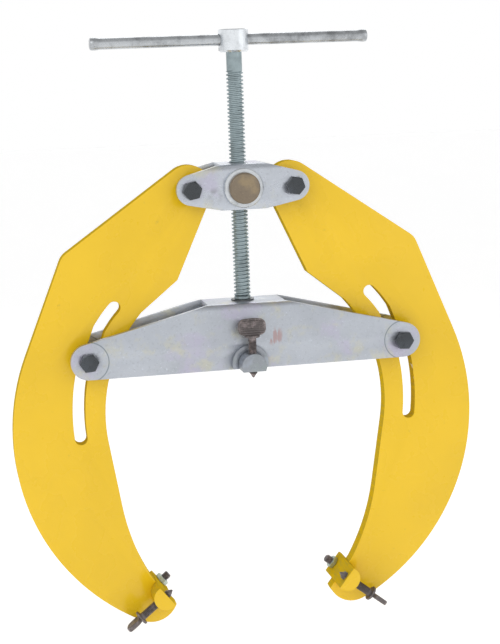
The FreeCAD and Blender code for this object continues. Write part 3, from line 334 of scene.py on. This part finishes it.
# ------------------------------------------------------------------------------- materials
class Finish:
    """A small builder for node materials whose patterns sit on Object coordinates."""

    def __init__(self, name, metallic, coat=0.0, coat_roughness=0.05):
        self.material = bpy.data.materials.new(name)
        self.material.use_nodes = True
        self.tree = self.material.node_tree
        self.shader = self.tree.nodes["Principled BSDF"]
        self.shader.inputs["Metallic"].default_value = metallic
        self.shader.inputs["Coat Weight"].default_value = coat
        self.shader.inputs["Coat Roughness"].default_value = coat_roughness
        self.place = self.add("ShaderNodeTexCoord")

    def add(self, kind, **settings):
        node = self.tree.nodes.new(kind)
        for key, value in settings.items():
            setattr(node, key, value)
        return node

    def link(self, source, target):
        self.tree.links.new(source, target)

    def noise(self, scale, detail=4.0, roughness=0.5, stretch=None):
        """Noise in the piece's own place, with features about 1 / scale metres across."""
        node = self.add("ShaderNodeTexNoise")
        node.inputs["Scale"].default_value = scale
        node.inputs["Detail"].default_value = detail
        node.inputs["Roughness"].default_value = roughness
        if stretch is None:
            self.link(self.place.outputs["Object"], node.inputs["Vector"])
        else:
            mapping = self.add("ShaderNodeMapping")
            mapping.inputs["Scale"].default_value = stretch
            self.link(self.place.outputs["Object"], mapping.inputs["Vector"])
            self.link(mapping.outputs["Vector"], node.inputs["Vector"])
        return node.outputs["Fac"]

    def band(self, source, low, high, to_low=0.0, to_high=1.0):
        """Reads a value between low and high as to_low to to_high."""
        node = self.add("ShaderNodeMapRange", interpolation_type="SMOOTHSTEP")
        node.inputs["From Min"].default_value = low
        node.inputs["From Max"].default_value = high
        node.inputs["To Min"].default_value = to_low
        node.inputs["To Max"].default_value = to_high
        self.link(source, node.inputs["Value"])
        return node.outputs["Result"]

    def mix(self, factor, first, second, blend="MIX"):
        """Mixes two colours, each a socket or a plain colour."""
        node = self.add("ShaderNodeMix", data_type="RGBA", blend_type=blend)
        for value, socket in ((factor, 0), (first, 6), (second, 7)):
            if isinstance(value, (int, float)):
                node.inputs[socket].default_value = value
            elif isinstance(value, bpy.types.NodeSocket):
                self.link(value, node.inputs[socket])
            else:
                node.inputs[socket].default_value = (*value, 1.0)
        return node.outputs[2]

    def math(self, operation, first, second=0.0):
        node = self.add("ShaderNodeMath", operation=operation)
        for value, socket in ((first, 0), (second, 1)):
            if isinstance(value, (int, float)):
                node.inputs[socket].default_value = value
            else:
                self.link(value, node.inputs[socket])
        return node.outputs[0]

    def facing(self, axis):
        """How far the surface faces along one of the piece's own axes, from 0 to 1."""
        split = self.add("ShaderNodeSeparateXYZ")
        self.link(self.place.outputs["Normal"], split.inputs[0])
        return self.math("ABSOLUTE", split.outputs[axis])

    def distance(self, centre, axes="XZ"):
        """Distance from an axis through centre, in metres."""
        node = self.add("ShaderNodeVectorMath", operation="SUBTRACT")
        self.link(self.place.outputs["Object"], node.inputs[0])
        node.inputs[1].default_value = centre
        flat = self.add("ShaderNodeVectorMath", operation="MULTIPLY")
        flat.inputs[1].default_value = [1.0 if axis in axes else 0.0 for axis in "XYZ"]
        self.link(node.outputs[0], flat.inputs[0])
        size = self.add("ShaderNodeVectorMath", operation="LENGTH")
        self.link(flat.outputs[0], size.inputs[0])
        return size.outputs["Value"]

    def ring(self, centre, radius, width, axes="XZ"):
        """1 on a circle about an axis, fading to 0 within width of it."""
        away = self.math("ABSOLUTE", self.math("SUBTRACT", self.distance(centre, axes), radius))
        return self.band(away, 0.0, width, 1.0, 0.0)

    def colour(self, source):
        self.link(source, self.shader.inputs["Base Color"])

    def rough(self, source):
        self.link(source, self.shader.inputs["Roughness"])

    def bump(self, source, strength, distance):
        node = self.add("ShaderNodeBump")
        node.inputs["Strength"].default_value = strength
        node.inputs["Distance"].default_value = distance
        self.link(source, node.inputs["Height"])
        self.link(node.outputs["Normal"], self.shader.inputs["Normal"])


def enamel(name, edge_axis=1):
    """Glossy enamel: thick and bright on the faces, thin and dull over the flame-cut walls, whose colour is also
    darkened by the way they face as painted shade.
    """
    look = Finish(name, 0.0, coat=0.35, coat_roughness=0.08)
    tone = colours()
    shade = look.band(look.noise(9.0, 3.0), 0.3, 0.7)
    face = look.mix(shade, [c * 0.93 for c in tone.enamel], list(tone.enamel))
    scuffs = look.band(look.noise(60.0, 6.0, 0.65), 0.66, 0.74)
    face = look.mix(look.math("MULTIPLY", scuffs, 0.35), face, tone.enamel_wear_and_wall_shade)
    specks = look.band(look.noise(520.0, 2.0), 0.70, 0.76)
    face = look.mix(look.math("MULTIPLY", specks, 0.25), face, tone.enamel_wear_and_wall_shade)
    # Side walls, found by the way they face, take a darker streaky colour: painted shade, with the streaks of the
    # cut
    wall = look.band(look.facing(edge_axis), 0.55, 0.25)
    drag = look.noise(55.0, 5.0, 0.6, stretch=(8, 1, 8))
    streaks_and_wall_shade = look.mix(look.band(drag, 0.35, 0.65), tone.enamel_wear_and_wall_shade, [c * 0.72 for c in tone.enamel])
    look.colour(look.mix(wall, face, streaks_and_wall_shade))
    gloss = look.band(look.noise(35.0), 0.3, 0.7, 0.24, 0.34)
    look.rough(look.math("ADD", gloss, look.math("MULTIPLY", wall, 0.22)))
    thin = look.math("SUBTRACT", 1.0, wall)
    look.link(look.math("MULTIPLY", thin, 0.22), look.shader.inputs["Coat Weight"])
    look.link(look.math("MULTIPLY", thin, 0.4), look.shader.inputs["Specular IOR Level"])
    peel = look.math("MULTIPLY", look.noise(420.0, 2.0), 0.4)
    cuts = look.math("MULTIPLY", look.noise(260.0, 3.0, 0.5, stretch=(1, 0.12, 1)), wall)
    look.bump(look.math("ADD", peel, cuts), 0.35, 0.00045)
    return look.material


def plated(name, base, casts=(), roughness=(0.30, 0.46), grain=0.25, marks_and_shade=()):
    """Zinc plate: metal with soft coloured clouds, fine grain, and whatever overlays are passed in: handling
    scrapes and smudges, and painted shade.
    """
    look = Finish(name, 0.85)
    face = look.mix(look.band(look.noise(14.0, 5.0, 0.6), 0.3, 0.7), [c * 0.86 for c in base], base)
    for number, cast in enumerate(casts):
        cloud = look.band(look.noise(22.0 + 13.0 * number, 4.0, 0.6), 0.52, 0.68)
        face = look.mix(look.math("MULTIPLY", cloud, 0.65), face, cast)
    speck = look.band(look.noise(340.0, 4.0, 0.7), 0.54, 0.70)
    face = look.mix(look.math("MULTIPLY", speck, 0.40), face, [c * 0.60 for c in base])
    spark = look.band(look.noise(410.0, 4.0, 0.7), 0.40, 0.30)
    face = look.mix(look.math("MULTIPLY", spark, 0.45), face, [min(1.0, c * 1.45) for c in base])
    # Each overlay is a real scrape or smudge, or painted shade
    for strength, mark, tint in marks_and_shade:
        face = look.mix(look.math("MULTIPLY", mark(look), strength), face, tint)
    look.colour(face)
    low, high = roughness
    look.rough(look.band(look.noise(120.0, 5.0, 0.6), 0.25, 0.75, low, high))
    fine = look.noise(900.0, 3.0, 0.6)
    look.bump(look.math("ADD", fine, look.noise(90.0, 3.0)), grain, 0.0003)
    return look.material


def brushed(name, base, axis, roughness=(0.22, 0.36), grooves=3000.0, dark=0.7):
    """Turned steel: fine rings round the axis that it was turned about, and light staining."""
    look = Finish(name, 0.95)
    stain = look.band(look.noise(45.0, 5.0, 0.65), 0.38, 0.72)
    look.colour(look.mix(stain, base, [c * dark for c in base]))
    look.rough(look.band(look.noise(160.0, 4.0), 0.3, 0.7, *roughness))
    stretch = [0.02 * grooves if i == axis else 0.02 for i in range(3)]
    look.bump(look.noise(60.0, 2.0, 0.5, stretch=stretch), 0.18, 0.00015)
    return look.material


def oxide(name, worn_axis=None):
    """Black oxide with dry, greyish high spots."""
    look = Finish(name, 0.6)
    tone = colours()
    cloud = look.band(look.noise(150.0, 5.0, 0.7), 0.45, 0.70)
    face = look.mix(look.math("MULTIPLY", cloud, 0.45), tone.black, tone.worn)
    if worn_axis is not None:
        crest = look.band(look.facing(worn_axis), 0.55, 0.95)
        patch = look.band(look.noise(240.0, 4.0), 0.30, 0.62)
        face = look.mix(look.math("MULTIPLY", crest, patch), face, tone.worn)
    look.colour(face)
    look.rough(look.band(look.noise(210.0, 4.0), 0.3, 0.7, 0.42, 0.62))
    look.bump(look.noise(700.0, 4.0, 0.7), 0.45, 0.0003)
    return look.material


# ------------------------------------------------------------------------------- operators
class ClampOperator:
    """What every operator of the clamp shares."""

    bl_options = {"REGISTER", "UNDO"}

    def execute(self, context):
        self.make()
        return {"FINISHED"}


class CLAMP_OT_arms(ClampOperator, bpy.types.Operator):
    """Curved arms with rounded edges under glossy enamel"""

    bl_idname = "clamp.arms"
    bl_label = "Arms"

    def make(self):
        material = enamel("yellow_enamel")
        for side in SIDES:
            bm = rounded_copy(f"{side}_arm", sizes().plate_round)
            piece = finish_mesh(bm, f"{side}_arm_plate", smooth=32)
            stand_in(piece, f"{side}_arm", material)


class CLAMP_OT_yokes(ClampOperator, bpy.types.Operator):
    """Bent yokes under zinc plate, with painted shade along the bends round their slot bolts, and handling scrapes
    and smudges
    """

    bl_idname = "clamp.yokes"
    bl_label = "Yokes"

    def make(self):
        tone = colours()
        bolts = [along(f"{side}_slot_bolt") for side in SIDES]

        # A dark line round each slot bolt: painted shade along the crease where the ear is pressed in; the step
        # itself is not modelled
        def crease_shade_arcs(look):
            left, right = (look.ring(bolt, sizes().ear_line, 0.0011) for bolt in bolts)
            return look.math("MAXIMUM", left, right)

        def scrape(look):
            away = look.distance((0.030, 0, 0.187))
            near = look.band(away, 0.006, 0.013, 1.0, 0.0)
            streak = look.band(look.noise(190.0, 2.0, 0.4, stretch=(1, 1, 0.25)), 0.55, 0.62)
            return look.math("MULTIPLY", near, streak)

        def smudge(look):
            away = look.distance((-0.034, 0, 0.350))
            near = look.band(away, 0.004, 0.012, 1.0, 0.0)
            return look.math("MULTIPLY", near, look.band(look.noise(120.0), 0.35, 0.6))

        casts = (tone.lavender, tone.straw)
        lower = plated(
            "zinc_lower_yoke",
            tone.zinc,
            casts,
            # (0.17, 0.21, 0.23) is the colour of the painted crease shade
            marks_and_shade=((0.85, crease_shade_arcs, (0.17, 0.21, 0.23)), (0.55, scrape, (0.42, 0.20, 0.17))),
        )
        upper = plated(
            "zinc_upper_yoke",
            [c * 1.1 for c in tone.zinc],
            casts,
            roughness=(0.24, 0.40),
            marks_and_shade=((0.5, smudge, (0.20, 0.20, 0.20)),),
        )
        for node, material in (("lower_yoke", lower), ("upper_yoke", upper)):
            bm = rounded_copy(node, sizes().plate_round)
            stand_in(finish_mesh(bm, f"{node}_plate", smooth=32), node, material)


class CLAMP_OT_lead_screw(ClampOperator, bpy.types.Operator):
    """Lead screw with its real thread, neck and journal"""

    bl_idname = "clamp.lead_screw"
    bl_label = "Lead screw"

    def make(self):
        s = sizes()
        low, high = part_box("lead_screw")
        radius = (high.x - low.x) / 2
        hub_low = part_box("handle_hub")[0].z
        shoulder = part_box("upper_thrust_washer")[1].z + 0.0003
        top = hub_low - 0.020
        bm = bmesh.new()
        threaded_rod(bm, radius, s.screw_depth, s.screw_pitch, shoulder + 0.002, top - 0.001)
        core = radius - s.screw_depth - 0.0001
        profile = [
            (0, low.z),
            (s.journal_radius - 0.00055, low.z),
            (s.journal_radius, low.z + 0.0006),
            (s.journal_radius, shoulder),
            (core, shoulder),
            (radius - 0.0002, shoulder + 0.0002),
            (radius - 0.0002, shoulder + 0.0028),
            (core, shoulder + 0.0046),
            (core, top - 0.004),
            (s.neck_radius, top - 0.0008),
            (s.neck_radius, hub_low),
            (s.spigot_radius, hub_low),
            (s.spigot_radius, high.z - 0.0008),
            (s.spigot_radius - 0.0008, high.z),
            (0, high.z),
        ]
        shell = bmesh.new()
        turned(shell, profile)
        join(bm, shell)
        piece = finish_mesh(bm, "lead_screw_thread", smooth=35)
        stand_in(piece, "lead_screw", brushed("plated_screw", colours().screw, 2, (0.3, 0.45)))


class CLAMP_OT_handle(ClampOperator, bpy.types.Operator):
    """Handle hub, sliding bar and the small turned pieces on the screw"""

    bl_idname = "clamp.handle"
    bl_label = "Handle"

    def make(self):
        tone = colours()
        hub = brushed("bright_hub", [c * 1.15 for c in tone.bright], 2, (0.16, 0.28))
        wear(frame["nodes"]["handle_hub"], hub)
        low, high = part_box("handle_bar")
        middle = (low + high) / 2
        half = (high.x - low.x) / 2
        plain = sizes().bar_radius
        big = (high.z - low.z) / 2
        profile = [(0, -half), (big - 0.0022, -half), (big - 0.0006, -half + 0.0008)]
        profile += [(big, -half + 0.0024), (big, -half + 0.0065), (big - 0.0003, -half + 0.0085)]
        profile += [(plain, -half + 0.0105)]
        profile += [(radius, -level) for radius, level in reversed(profile)]
        bm = bmesh.new()
        turned(bm, profile, steps=48)
        piece = finish_mesh(bm, "handle_bar_upset", Matrix.Translation(middle) @ TO_RIGHT)
        bright = brushed("bright_bar", [c * 0.74 for c in tone.bright], 0, (0.18, 0.30), dark=0.45)
        stand_in(piece, "handle_bar", bright)
        pale = brushed("turned_steel", [c * 0.62 for c in tone.bright], 2, (0.3, 0.45))
        for node in ("hub_pin", "retaining_collar", "collar_pin"):
            wear(frame["nodes"][node], pale)
        dark = plated("dark_washer", [c * 0.45 for c in tone.nut], (tone.straw,))
        for node in ("upper_thrust_washer", "lower_thrust_washer"):
            wear(frame["nodes"][node], dark)


class CLAMP_OT_trunnion(ClampOperator, bpy.types.Operator):
    """Bronze trunnion face with its centre mark, and the rings round it"""

    bl_idname = "clamp.trunnion"
    bl_label = "Trunnion"

    def make(self):
        tone = colours()
        ring = brushed("turned_rings", [c * 0.9 for c in tone.bright], 1, (0.26, 0.4))
        for node in ("front_trunnion_ring", "rear_trunnion_ring"):
            wear(frame["nodes"][node], ring)
        bronze = plated("bronze", tone.bronze, ((0.16, 0.15, 0.14), (0.36, 0.28, 0.17)), grain=0.35)
        nut = frame["nodes"]["trunnion_nut"]
        wear(nut, bronze)
        low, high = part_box("trunnion_nut")
        middle = (low + high) / 2
        radius = (high.x - low.x) / 2 - 0.0014
        for name, turn, face in (("front", TO_FRONT, low.y), ("rear", TO_BACK, high.y)):
            profile = [(0, 0), (radius, 0), (radius, 0.0002), (radius - 0.0004, 0.0005)]
            level = 0.0005
            steps = 9
            for step in range(1, steps):
                reach = radius - 0.0004 - (radius - 0.003) * step / steps
                profile += [(reach + 0.0004, level), (reach, level - 0.00012)]
                profile += [(reach - 0.0004, level)]
            profile += [(0.0022, level), (0.0016, level - 0.0001), (0, 0.0001)]
            bm = bmesh.new()
            turned(bm, profile, steps=72)
            place = Matrix.Translation((middle.x, face, middle.z)) @ turn
            piece = finish_mesh(bm, f"{name}_trunnion_face", place)
            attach(piece, "upper_yoke")
            wear(piece, bronze)
        bush = brushed("bush_bronze", [c * 1.3 for c in tone.bronze], 1)
        for side in SIDES:
            wear(frame["nodes"][f"{side}_pivot_bush"], bush)


class CLAMP_OT_bolts(ClampOperator, bpy.types.Operator):
    """Bolts with chamfered heads and real threads, their lock nuts and the spacers"""

    bl_idname = "clamp.bolts"
    bl_label = "Bolts and nuts"

    def make(self):
        tone = colours()
        s = sizes()
        casts = ((0.09, 0.10, 0.115), (0.30, 0.31, 0.30))
        bolt_finish = plated("bolt_plate", [c * 0.32 for c in tone.nut], casts[:1], (0.22, 0.36))
        nut_finish = plated("nut_plate", [c * 0.92 for c in tone.nut], casts, (0.26, 0.42))
        spacer = brushed("spacer_steel", [c * 0.8 for c in tone.zinc], 1, (0.3, 0.45))
        for side in SIDES:
            for place_name, turn in BOLT_TURNS:
                angle = math.radians(turn if side == "left" else -turn)
                self.bolt(f"{side}_{place_name}_bolt", angle, bolt_finish, s)
                self.nut(f"{side}_{place_name}_lock_nut", -angle, nut_finish)
                wear(frame["nodes"][f"{side}_{place_name}_spacers"], spacer)

    def bolt(self, node, angle, material, s):
        low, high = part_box(node)
        middle = (low + high) / 2
        flats = s.bolt_flats
        head_low = -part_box(node.replace("bolt", "lock_nut"))[0].y
        height = head_low - low.y
        bm = bmesh.new()
        hexagon(bm, flats, 0.0004, height, False, True)
        shell = bmesh.new()
        turned(shell, [(0, 0), (flats * 0.46, 0), (flats * 0.46, 0.0006), (0, 0.0006)])
        join(bm, shell)
        for mark in range(3):
            shell = bmesh.new()
            bmesh.ops.create_cube(shell, size=1.0)
            bmesh.ops.scale(shell, vec=(0.0036, 0.0008, 0.0005), verts=shell.verts)
            bmesh.ops.translate(shell, vec=(0.0052, 0, height + 0.00005), verts=shell.verts)
            spin = Matrix.Rotation(mark * TURN / 3 + 0.3, 3, "Z")
            bmesh.ops.rotate(shell, cent=(0, 0, 0), matrix=spin, verts=shell.verts)
            join(bm, shell)
        shell = bmesh.new()
        grip = 2 * head_low - 0.004
        shank = s.bolt_radius
        turned(shell, [(0, 0.0001), (shank, 0.0001), (shank, grip), (0, grip)], steps=48)
        join(bm, shell)
        end = -(high.y - low.y - height)
        crest = shank - 0.00003
        start = grip + 0.001
        threaded_rod(bm, crest, s.bolt_depth, s.bolt_pitch, end, start, steps=32, flat=0.2)
        place = Matrix.Translation((middle.x, head_low, middle.z)) @ TO_FRONT
        place = place @ Matrix.Rotation(angle, 4, "Z")
        stand_in(finish_mesh(bm, f"{node}_threaded", place, smooth=30), node, material)

    def nut(self, node, angle, material):
        low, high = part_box(node)
        middle = (low + high) / 2
        flats = sizes().bolt_flats
        height = high.y - low.y
        bm = bmesh.new()
        hexagon(bm, flats, 0, height * 0.76, True, True)
        crown = height * 0.76
        profile = [(0.0066, crown - 0.001), (flats * 0.455, crown - 0.001)]
        profile += [(flats * 0.455, height - 0.0016), (flats * 0.42, height - 0.0004)]
        profile += [(flats * 0.38, height), (0.0072, height), (0.0066, height - 0.0006)]
        shell = bmesh.new()
        turned(shell, [*profile, profile[0]], steps=60)
        join(bm, shell)
        place = Matrix.Translation((middle.x, low.y, middle.z)) @ TO_BACK
        place = place @ Matrix.Rotation(angle, 4, "Z")
        stand_in(finish_mesh(bm, f"{node}_crowned", place, smooth=30), node, material)


def contact_frames():
    """Each contact bar's name and how it is turned about Y."""
    frames = [("centre", Matrix.Identity(4))]
    for side in SIDES:
        joint = next(j for j in frame["joints"] if j["name"] == f"{side}_thumb_feed")
        axis = -Vector(joint["axis"]).normalized()
        angle = math.atan2(axis.x, axis.z)
        frames.append((side, Matrix.Rotation(angle, 4, "Y")))
    return frames


class CLAMP_OT_contact_bars(ClampOperator, bpy.types.Operator):
    """Half-round contact bars and the rings round the centre bar"""

    bl_idname = "clamp.contact_bars"
    bl_label = "Contact bars"

    def make(self):
        s = sizes()
        tone = colours()
        yellow = enamel("yellow_enamel_bar")
        casts = ((0.30, 0.36, 0.34), (0.40, 0.44, 0.52))
        zinc = plated("zinc_bar", [c * 0.68 for c in tone.zinc], casts)
        for name, _ in contact_frames():
            node = f"{name}_contact_bar"
            material = zinc if name == "centre" else yellow
            bm = rounded_copy(node, s.bar_round)
            stand_in(finish_mesh(bm, f"{node}_half_round", smooth=32), node, material)
        bm = rounded_copy("centre_bar_rings", s.plate_round)
        stand_in(finish_mesh(bm, "centre_bar_welded_rings", smooth=32), "centre_bar_rings", zinc)


class CLAMP_OT_thumb_screws(ClampOperator, bpy.types.Operator):
    """Thumb screws with cut threads, a flange and a ribbed head"""

    bl_idname = "clamp.thumb_screws"
    bl_label = "Thumb screws"

    def make(self):
        material = oxide("black_oxide_ribbed")
        for name, turn in contact_frames():
            node = f"{name}_thumb_screw"
            bm = self.shape()
            spin = Matrix.Rotation(math.radians(HEAD_TURNS[name]), 4, "Z")
            place = Matrix.Translation(self.tip(name)) @ turn @ spin
            stand_in(finish_mesh(bm, f"{node}_ribbed", place, smooth=38), node, material)

    def tip(self, name):
        """Tip of the screw, on the seat circle."""
        low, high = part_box(f"{name}_thumb_screw")
        if name == "centre":
            return Vector((0, (low.y + high.y) / 2, low.z))
        sign = -1 if name == "left" else 1
        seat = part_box("centre_thumb_screw")[0].z
        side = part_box(f"{name}_contact_bar")[0].y + sizes().screw_inset
        return Vector((sign * seat * math.sin(TIP_SPREAD), side, -seat * math.cos(TIP_SPREAD)))

    def shape(self):
        s = sizes()
        bm = bmesh.new()
        reach = s.thumb_reach
        threaded_rod(bm, s.contact_radius, s.fine_depth, s.fine_pitch, 0.0050, reach - 0.003, 28, 0.15)
        shell = bmesh.new()
        profile = [(0, 0), (0.0008, 0), (0.0040, 0.0052), (0.0038, 0.0060), (0.0038, reach - 0.005)]
        profile += [(0.0045, reach - 0.003), (0.0045, reach), (0.0082, reach)]
        flange = s.flange_radius
        profile += [(flange, reach + 0.0005), (flange, reach + 0.0020), (0.0080, reach + 0.0026)]
        profile += [(0, reach + 0.0026)]
        turned(shell, profile, steps=48)
        join(bm, shell)
        join(bm, self.head(reach + 0.0016, s.head_height, s))
        return bm

    def head(self, low, height, s):
        """A flat oval head whose broad faces carry level ribs."""
        shell = bmesh.new()
        bmesh.ops.create_circle(shell, cap_ends=True, radius=1.0, segments=72)
        for vert in shell.verts:
            angle = math.atan2(vert.co.y, vert.co.x)
            power = 0.62
            across = math.copysign(abs(math.cos(angle)) ** power, math.cos(angle))
            up = math.copysign(abs(math.sin(angle)) ** power, math.sin(angle))
            level = low + height * (1 + up) / 2
            vert.co = Vector((across * s.head_half, -s.head_thickness / 2, level))
        cap = raise_cap(shell, shell.faces[:])
        moved = {v for f in cap for v in f.verts}
        bmesh.ops.translate(shell, vec=(0, s.head_thickness, 0), verts=list(moved))
        rims = [e for e in shell.edges if e.is_manifold and e.calc_face_angle(0) > 1.0]
        bmesh.ops.bevel(
            shell,
            geom=rims,
            offset=0.0014,
            offset_type="OFFSET",
            affect="EDGES",
            segments=3,
            profile=0.5,
            material=-1,
        )
        count = s.rib_count * 4
        levels = [low + height * (0.16 + 0.72 * step / count) for step in range(count + 1)]
        for level in levels:
            bmesh.ops.bisect_plane(
                shell,
                geom=shell.verts[:] + shell.edges[:] + shell.faces[:],
                plane_co=(0, 0, level),
                plane_no=(0, 0, 1),
                dist=1e-6,
            )
        for reach in (-0.0128, 0.0128):
            bmesh.ops.bisect_plane(
                shell,
                geom=shell.verts[:] + shell.edges[:] + shell.faces[:],
                plane_co=(reach, 0, 0),
                plane_no=(1, 0, 0),
                dist=1e-6,
            )
        span = levels[-1] - levels[0]
        for vert in shell.verts:
            part = (vert.co.z - levels[0]) / span
            if -0.001 < part < 1.001 and abs(vert.co.x) < 0.0129 and abs(vert.co.y) > 0.0027:
                wave = 0.5 + 0.5 * math.cos(TURN * part * s.rib_count)
                vert.co.y -= math.copysign(s.rib_depth * wave, vert.co.y)
        return shell


class CLAMP_OT_fixed_contacts(ClampOperator, bpy.types.Operator):
    """Threaded fixed contacts and their jam nuts"""

    bl_idname = "clamp.fixed_contacts"
    bl_label = "Fixed contacts"

    def make(self):
        s = sizes()
        tone = colours()
        dark = oxide("black_oxide_contact")
        cast = (0.52, 0.58, 0.26)
        nut_finish = plated("jam_nut_plate", tone.jam_nut, (cast,), (0.26, 0.42))
        for name, turn in contact_frames():
            axis_point = along(f"{name}_fixed_contact")
            flip = turn.inverted()
            points = [flip @ v.co for v in frame["nodes"][f"{name}_fixed_contact"].data.vertices]
            low = min(p.z for p in points)
            high = max(p.z for p in points)
            centre = flip @ axis_point
            bm = bmesh.new()
            ends = low + 0.0012, high - 0.001
            threaded_rod(bm, s.contact_radius, s.fine_depth, s.fine_pitch, *ends, 28, 0.15)
            shell = bmesh.new()
            profile = [(0, low), (0.0034, low), (0.0040, low + 0.0006), (0.0040, low + 0.002)]
            profile += [(0.0037, low + 0.003), (0.0037, high - 0.001), (0.0033, high), (0, high)]
            turned(shell, profile, steps=40)
            join(bm, shell)
            place = turn @ Matrix.Translation((centre.x, centre.y, 0))
            node = f"{name}_fixed_contact"
            stand_in(finish_mesh(bm, f"{node}_threaded", place, smooth=35), node, dark)
            self.nut(name, turn, nut_finish)

    def nut(self, name, turn, material):
        node = f"{name}_jam_nut"
        flip = turn.inverted()
        points = [flip @ v.co for v in frame["nodes"][node].data.vertices]
        low = min(p.z for p in points)
        high = max(p.z for p in points)
        middle = sum(points, Vector()) / len(points)
        bm = bmesh.new()
        hexagon(bm, sizes().jam_flats, low, high, True, True)
        place = turn @ Matrix.Translation((middle.x, middle.y, 0)) @ Matrix.Rotation(0.35, 4, "Z")
        stand_in(finish_mesh(bm, f"{node}_chamfered", place, smooth=30), node, material)


class CLAMP_OT_stage(ClampOperator, bpy.types.Operator):
    """Pale floor, soft studio light and the camera"""

    bl_idname = "clamp.stage"
    bl_label = "Stage"

    def make(self):
        scene = bpy.context.scene
        world = bpy.data.worlds.new("studio")
        scene.world = world
        world.use_nodes = True
        scene.view_settings.view_transform = "Standard"
        tree = world.node_tree
        sky = tree.nodes["Background"]
        place = tree.nodes.new("ShaderNodeTexCoord")
        split = tree.nodes.new("ShaderNodeSeparateXYZ")
        shade = tree.nodes.new("ShaderNodeMapRange")
        shade.interpolation_type = "SMOOTHSTEP"
        shade.inputs["From Min"].default_value = 0.22
        shade.inputs["From Max"].default_value = 0.85
        shade.inputs["To Min"].default_value = 1.0
        shade.inputs["To Max"].default_value = 0.55
        tree.links.new(place.outputs["Object"], split.inputs[0])
        tree.links.new(split.outputs["Z"], shade.inputs["Value"])
        tree.links.new(shade.outputs["Result"], sky.inputs["Strength"])
        sky.inputs["Color"].default_value = (1.0, 1.0, 1.0, 1.0)
        low = FRAME_BOX[0].z - sizes().floor_gap
        bm = bmesh.new()
        bmesh.ops.create_grid(bm, x_segments=8, y_segments=8, size=12.0)
        bmesh.ops.translate(bm, vec=(0, 0, low), verts=bm.verts)
        floor = finish_mesh(bm, "floor")
        look = Finish("pale_floor", 0.0)
        look.colour(look.mix(look.noise(3.0), (0.90, 0.90, 0.90), (0.92, 0.92, 0.92)))
        look.rough(look.band(look.noise(6.0), 0.3, 0.7, 0.55, 0.65))
        look.shader.inputs["Emission Color"].default_value = (1.0, 1.0, 1.0, 1.0)
        look.shader.inputs["Emission Strength"].default_value = 0.34
        wear(floor, look.material)
        lights = (
            ("key", (-1.1, -1.5, 1.7), 1.3, 7.0),
            ("fill", (1.5, -1.2, 0.9), 1.4, 1.5),
            ("rim", (0.4, 1.4, 1.5), 1.2, 6.0),
        )
        for name, where, size, power in lights:
            data = bpy.data.lights.new(name, "AREA")
            data.size = size
            data.energy = power
            lamp = bpy.data.objects.new(name, data)
            scene.collection.objects.link(lamp)
            lamp.location = where
            aim = Vector((0, 0, 0.2)) - Vector(where)
            lamp.rotation_euler = aim.to_track_quat("-Z", "Y").to_euler()
        data = bpy.data.cameras.new("camera")
        data.sensor_width = 36.0
        data.lens = LENS
        camera = bpy.data.objects.new("camera", data)
        scene.collection.objects.link(camera)
        right = Vector(CAMERA_RIGHT).normalized()
        forward = Vector(CAMERA_FORWARD)
        forward = (forward - right * forward.dot(right)).normalized()
        up = right.cross(forward)
        turn = Matrix((right, up, -forward)).transposed().to_4x4()
        camera.matrix_world = Matrix.Translation(CAMERA_PLACE) @ turn
        data.clip_start = 0.05
        data.clip_end = 60.0
        scene.camera = camera


class CLAMP_PT_panel(bpy.types.Panel):
    """Lists the operators and the settings"""

    bl_idname = "CLAMP_PT_panel"
    bl_label = "Pipe Clamp"
    bl_space_type = "VIEW_3D"
    bl_region_type = "UI"
    bl_category = "Clamp"

    def draw(self, context):
        for operator in OPERATORS:
            self.layout.operator(operator.bl_idname)
        for group in (context.scene.clamp_sizes, context.scene.clamp_colours):
            for name in group.bl_rna.properties.keys():
                if name not in ("rna_type", "name"):
                    self.layout.prop(group, name)


OPERATORS = (
    CLAMP_OT_arms,
    CLAMP_OT_yokes,
    CLAMP_OT_lead_screw,
    CLAMP_OT_handle,
    CLAMP_OT_trunnion,
    CLAMP_OT_bolts,
    CLAMP_OT_contact_bars,
    CLAMP_OT_thumb_screws,
    CLAMP_OT_fixed_contacts,
    CLAMP_OT_stage,
)
CLASSES = (ClampSizes, ClampColours, *OPERATORS, CLAMP_PT_panel)


def register():
    for item in CLASSES:
        bpy.utils.register_class(item)
    bpy.types.Scene.clamp_sizes = PointerProperty(type=ClampSizes)
    bpy.types.Scene.clamp_colours = PointerProperty(type=ClampColours)


def unregister():
    del bpy.types.Scene.clamp_colours
    del bpy.types.Scene.clamp_sizes
    for item in reversed(CLASSES):
        bpy.utils.unregister_class(item)


def main():
    """Registers the add-on and makes every piece."""
    register()
    for operator in OPERATORS:
        group, name = operator.bl_idname.split(".")
        getattr(getattr(bpy.ops, group), name)()


if __name__ == "__main__":
    main()
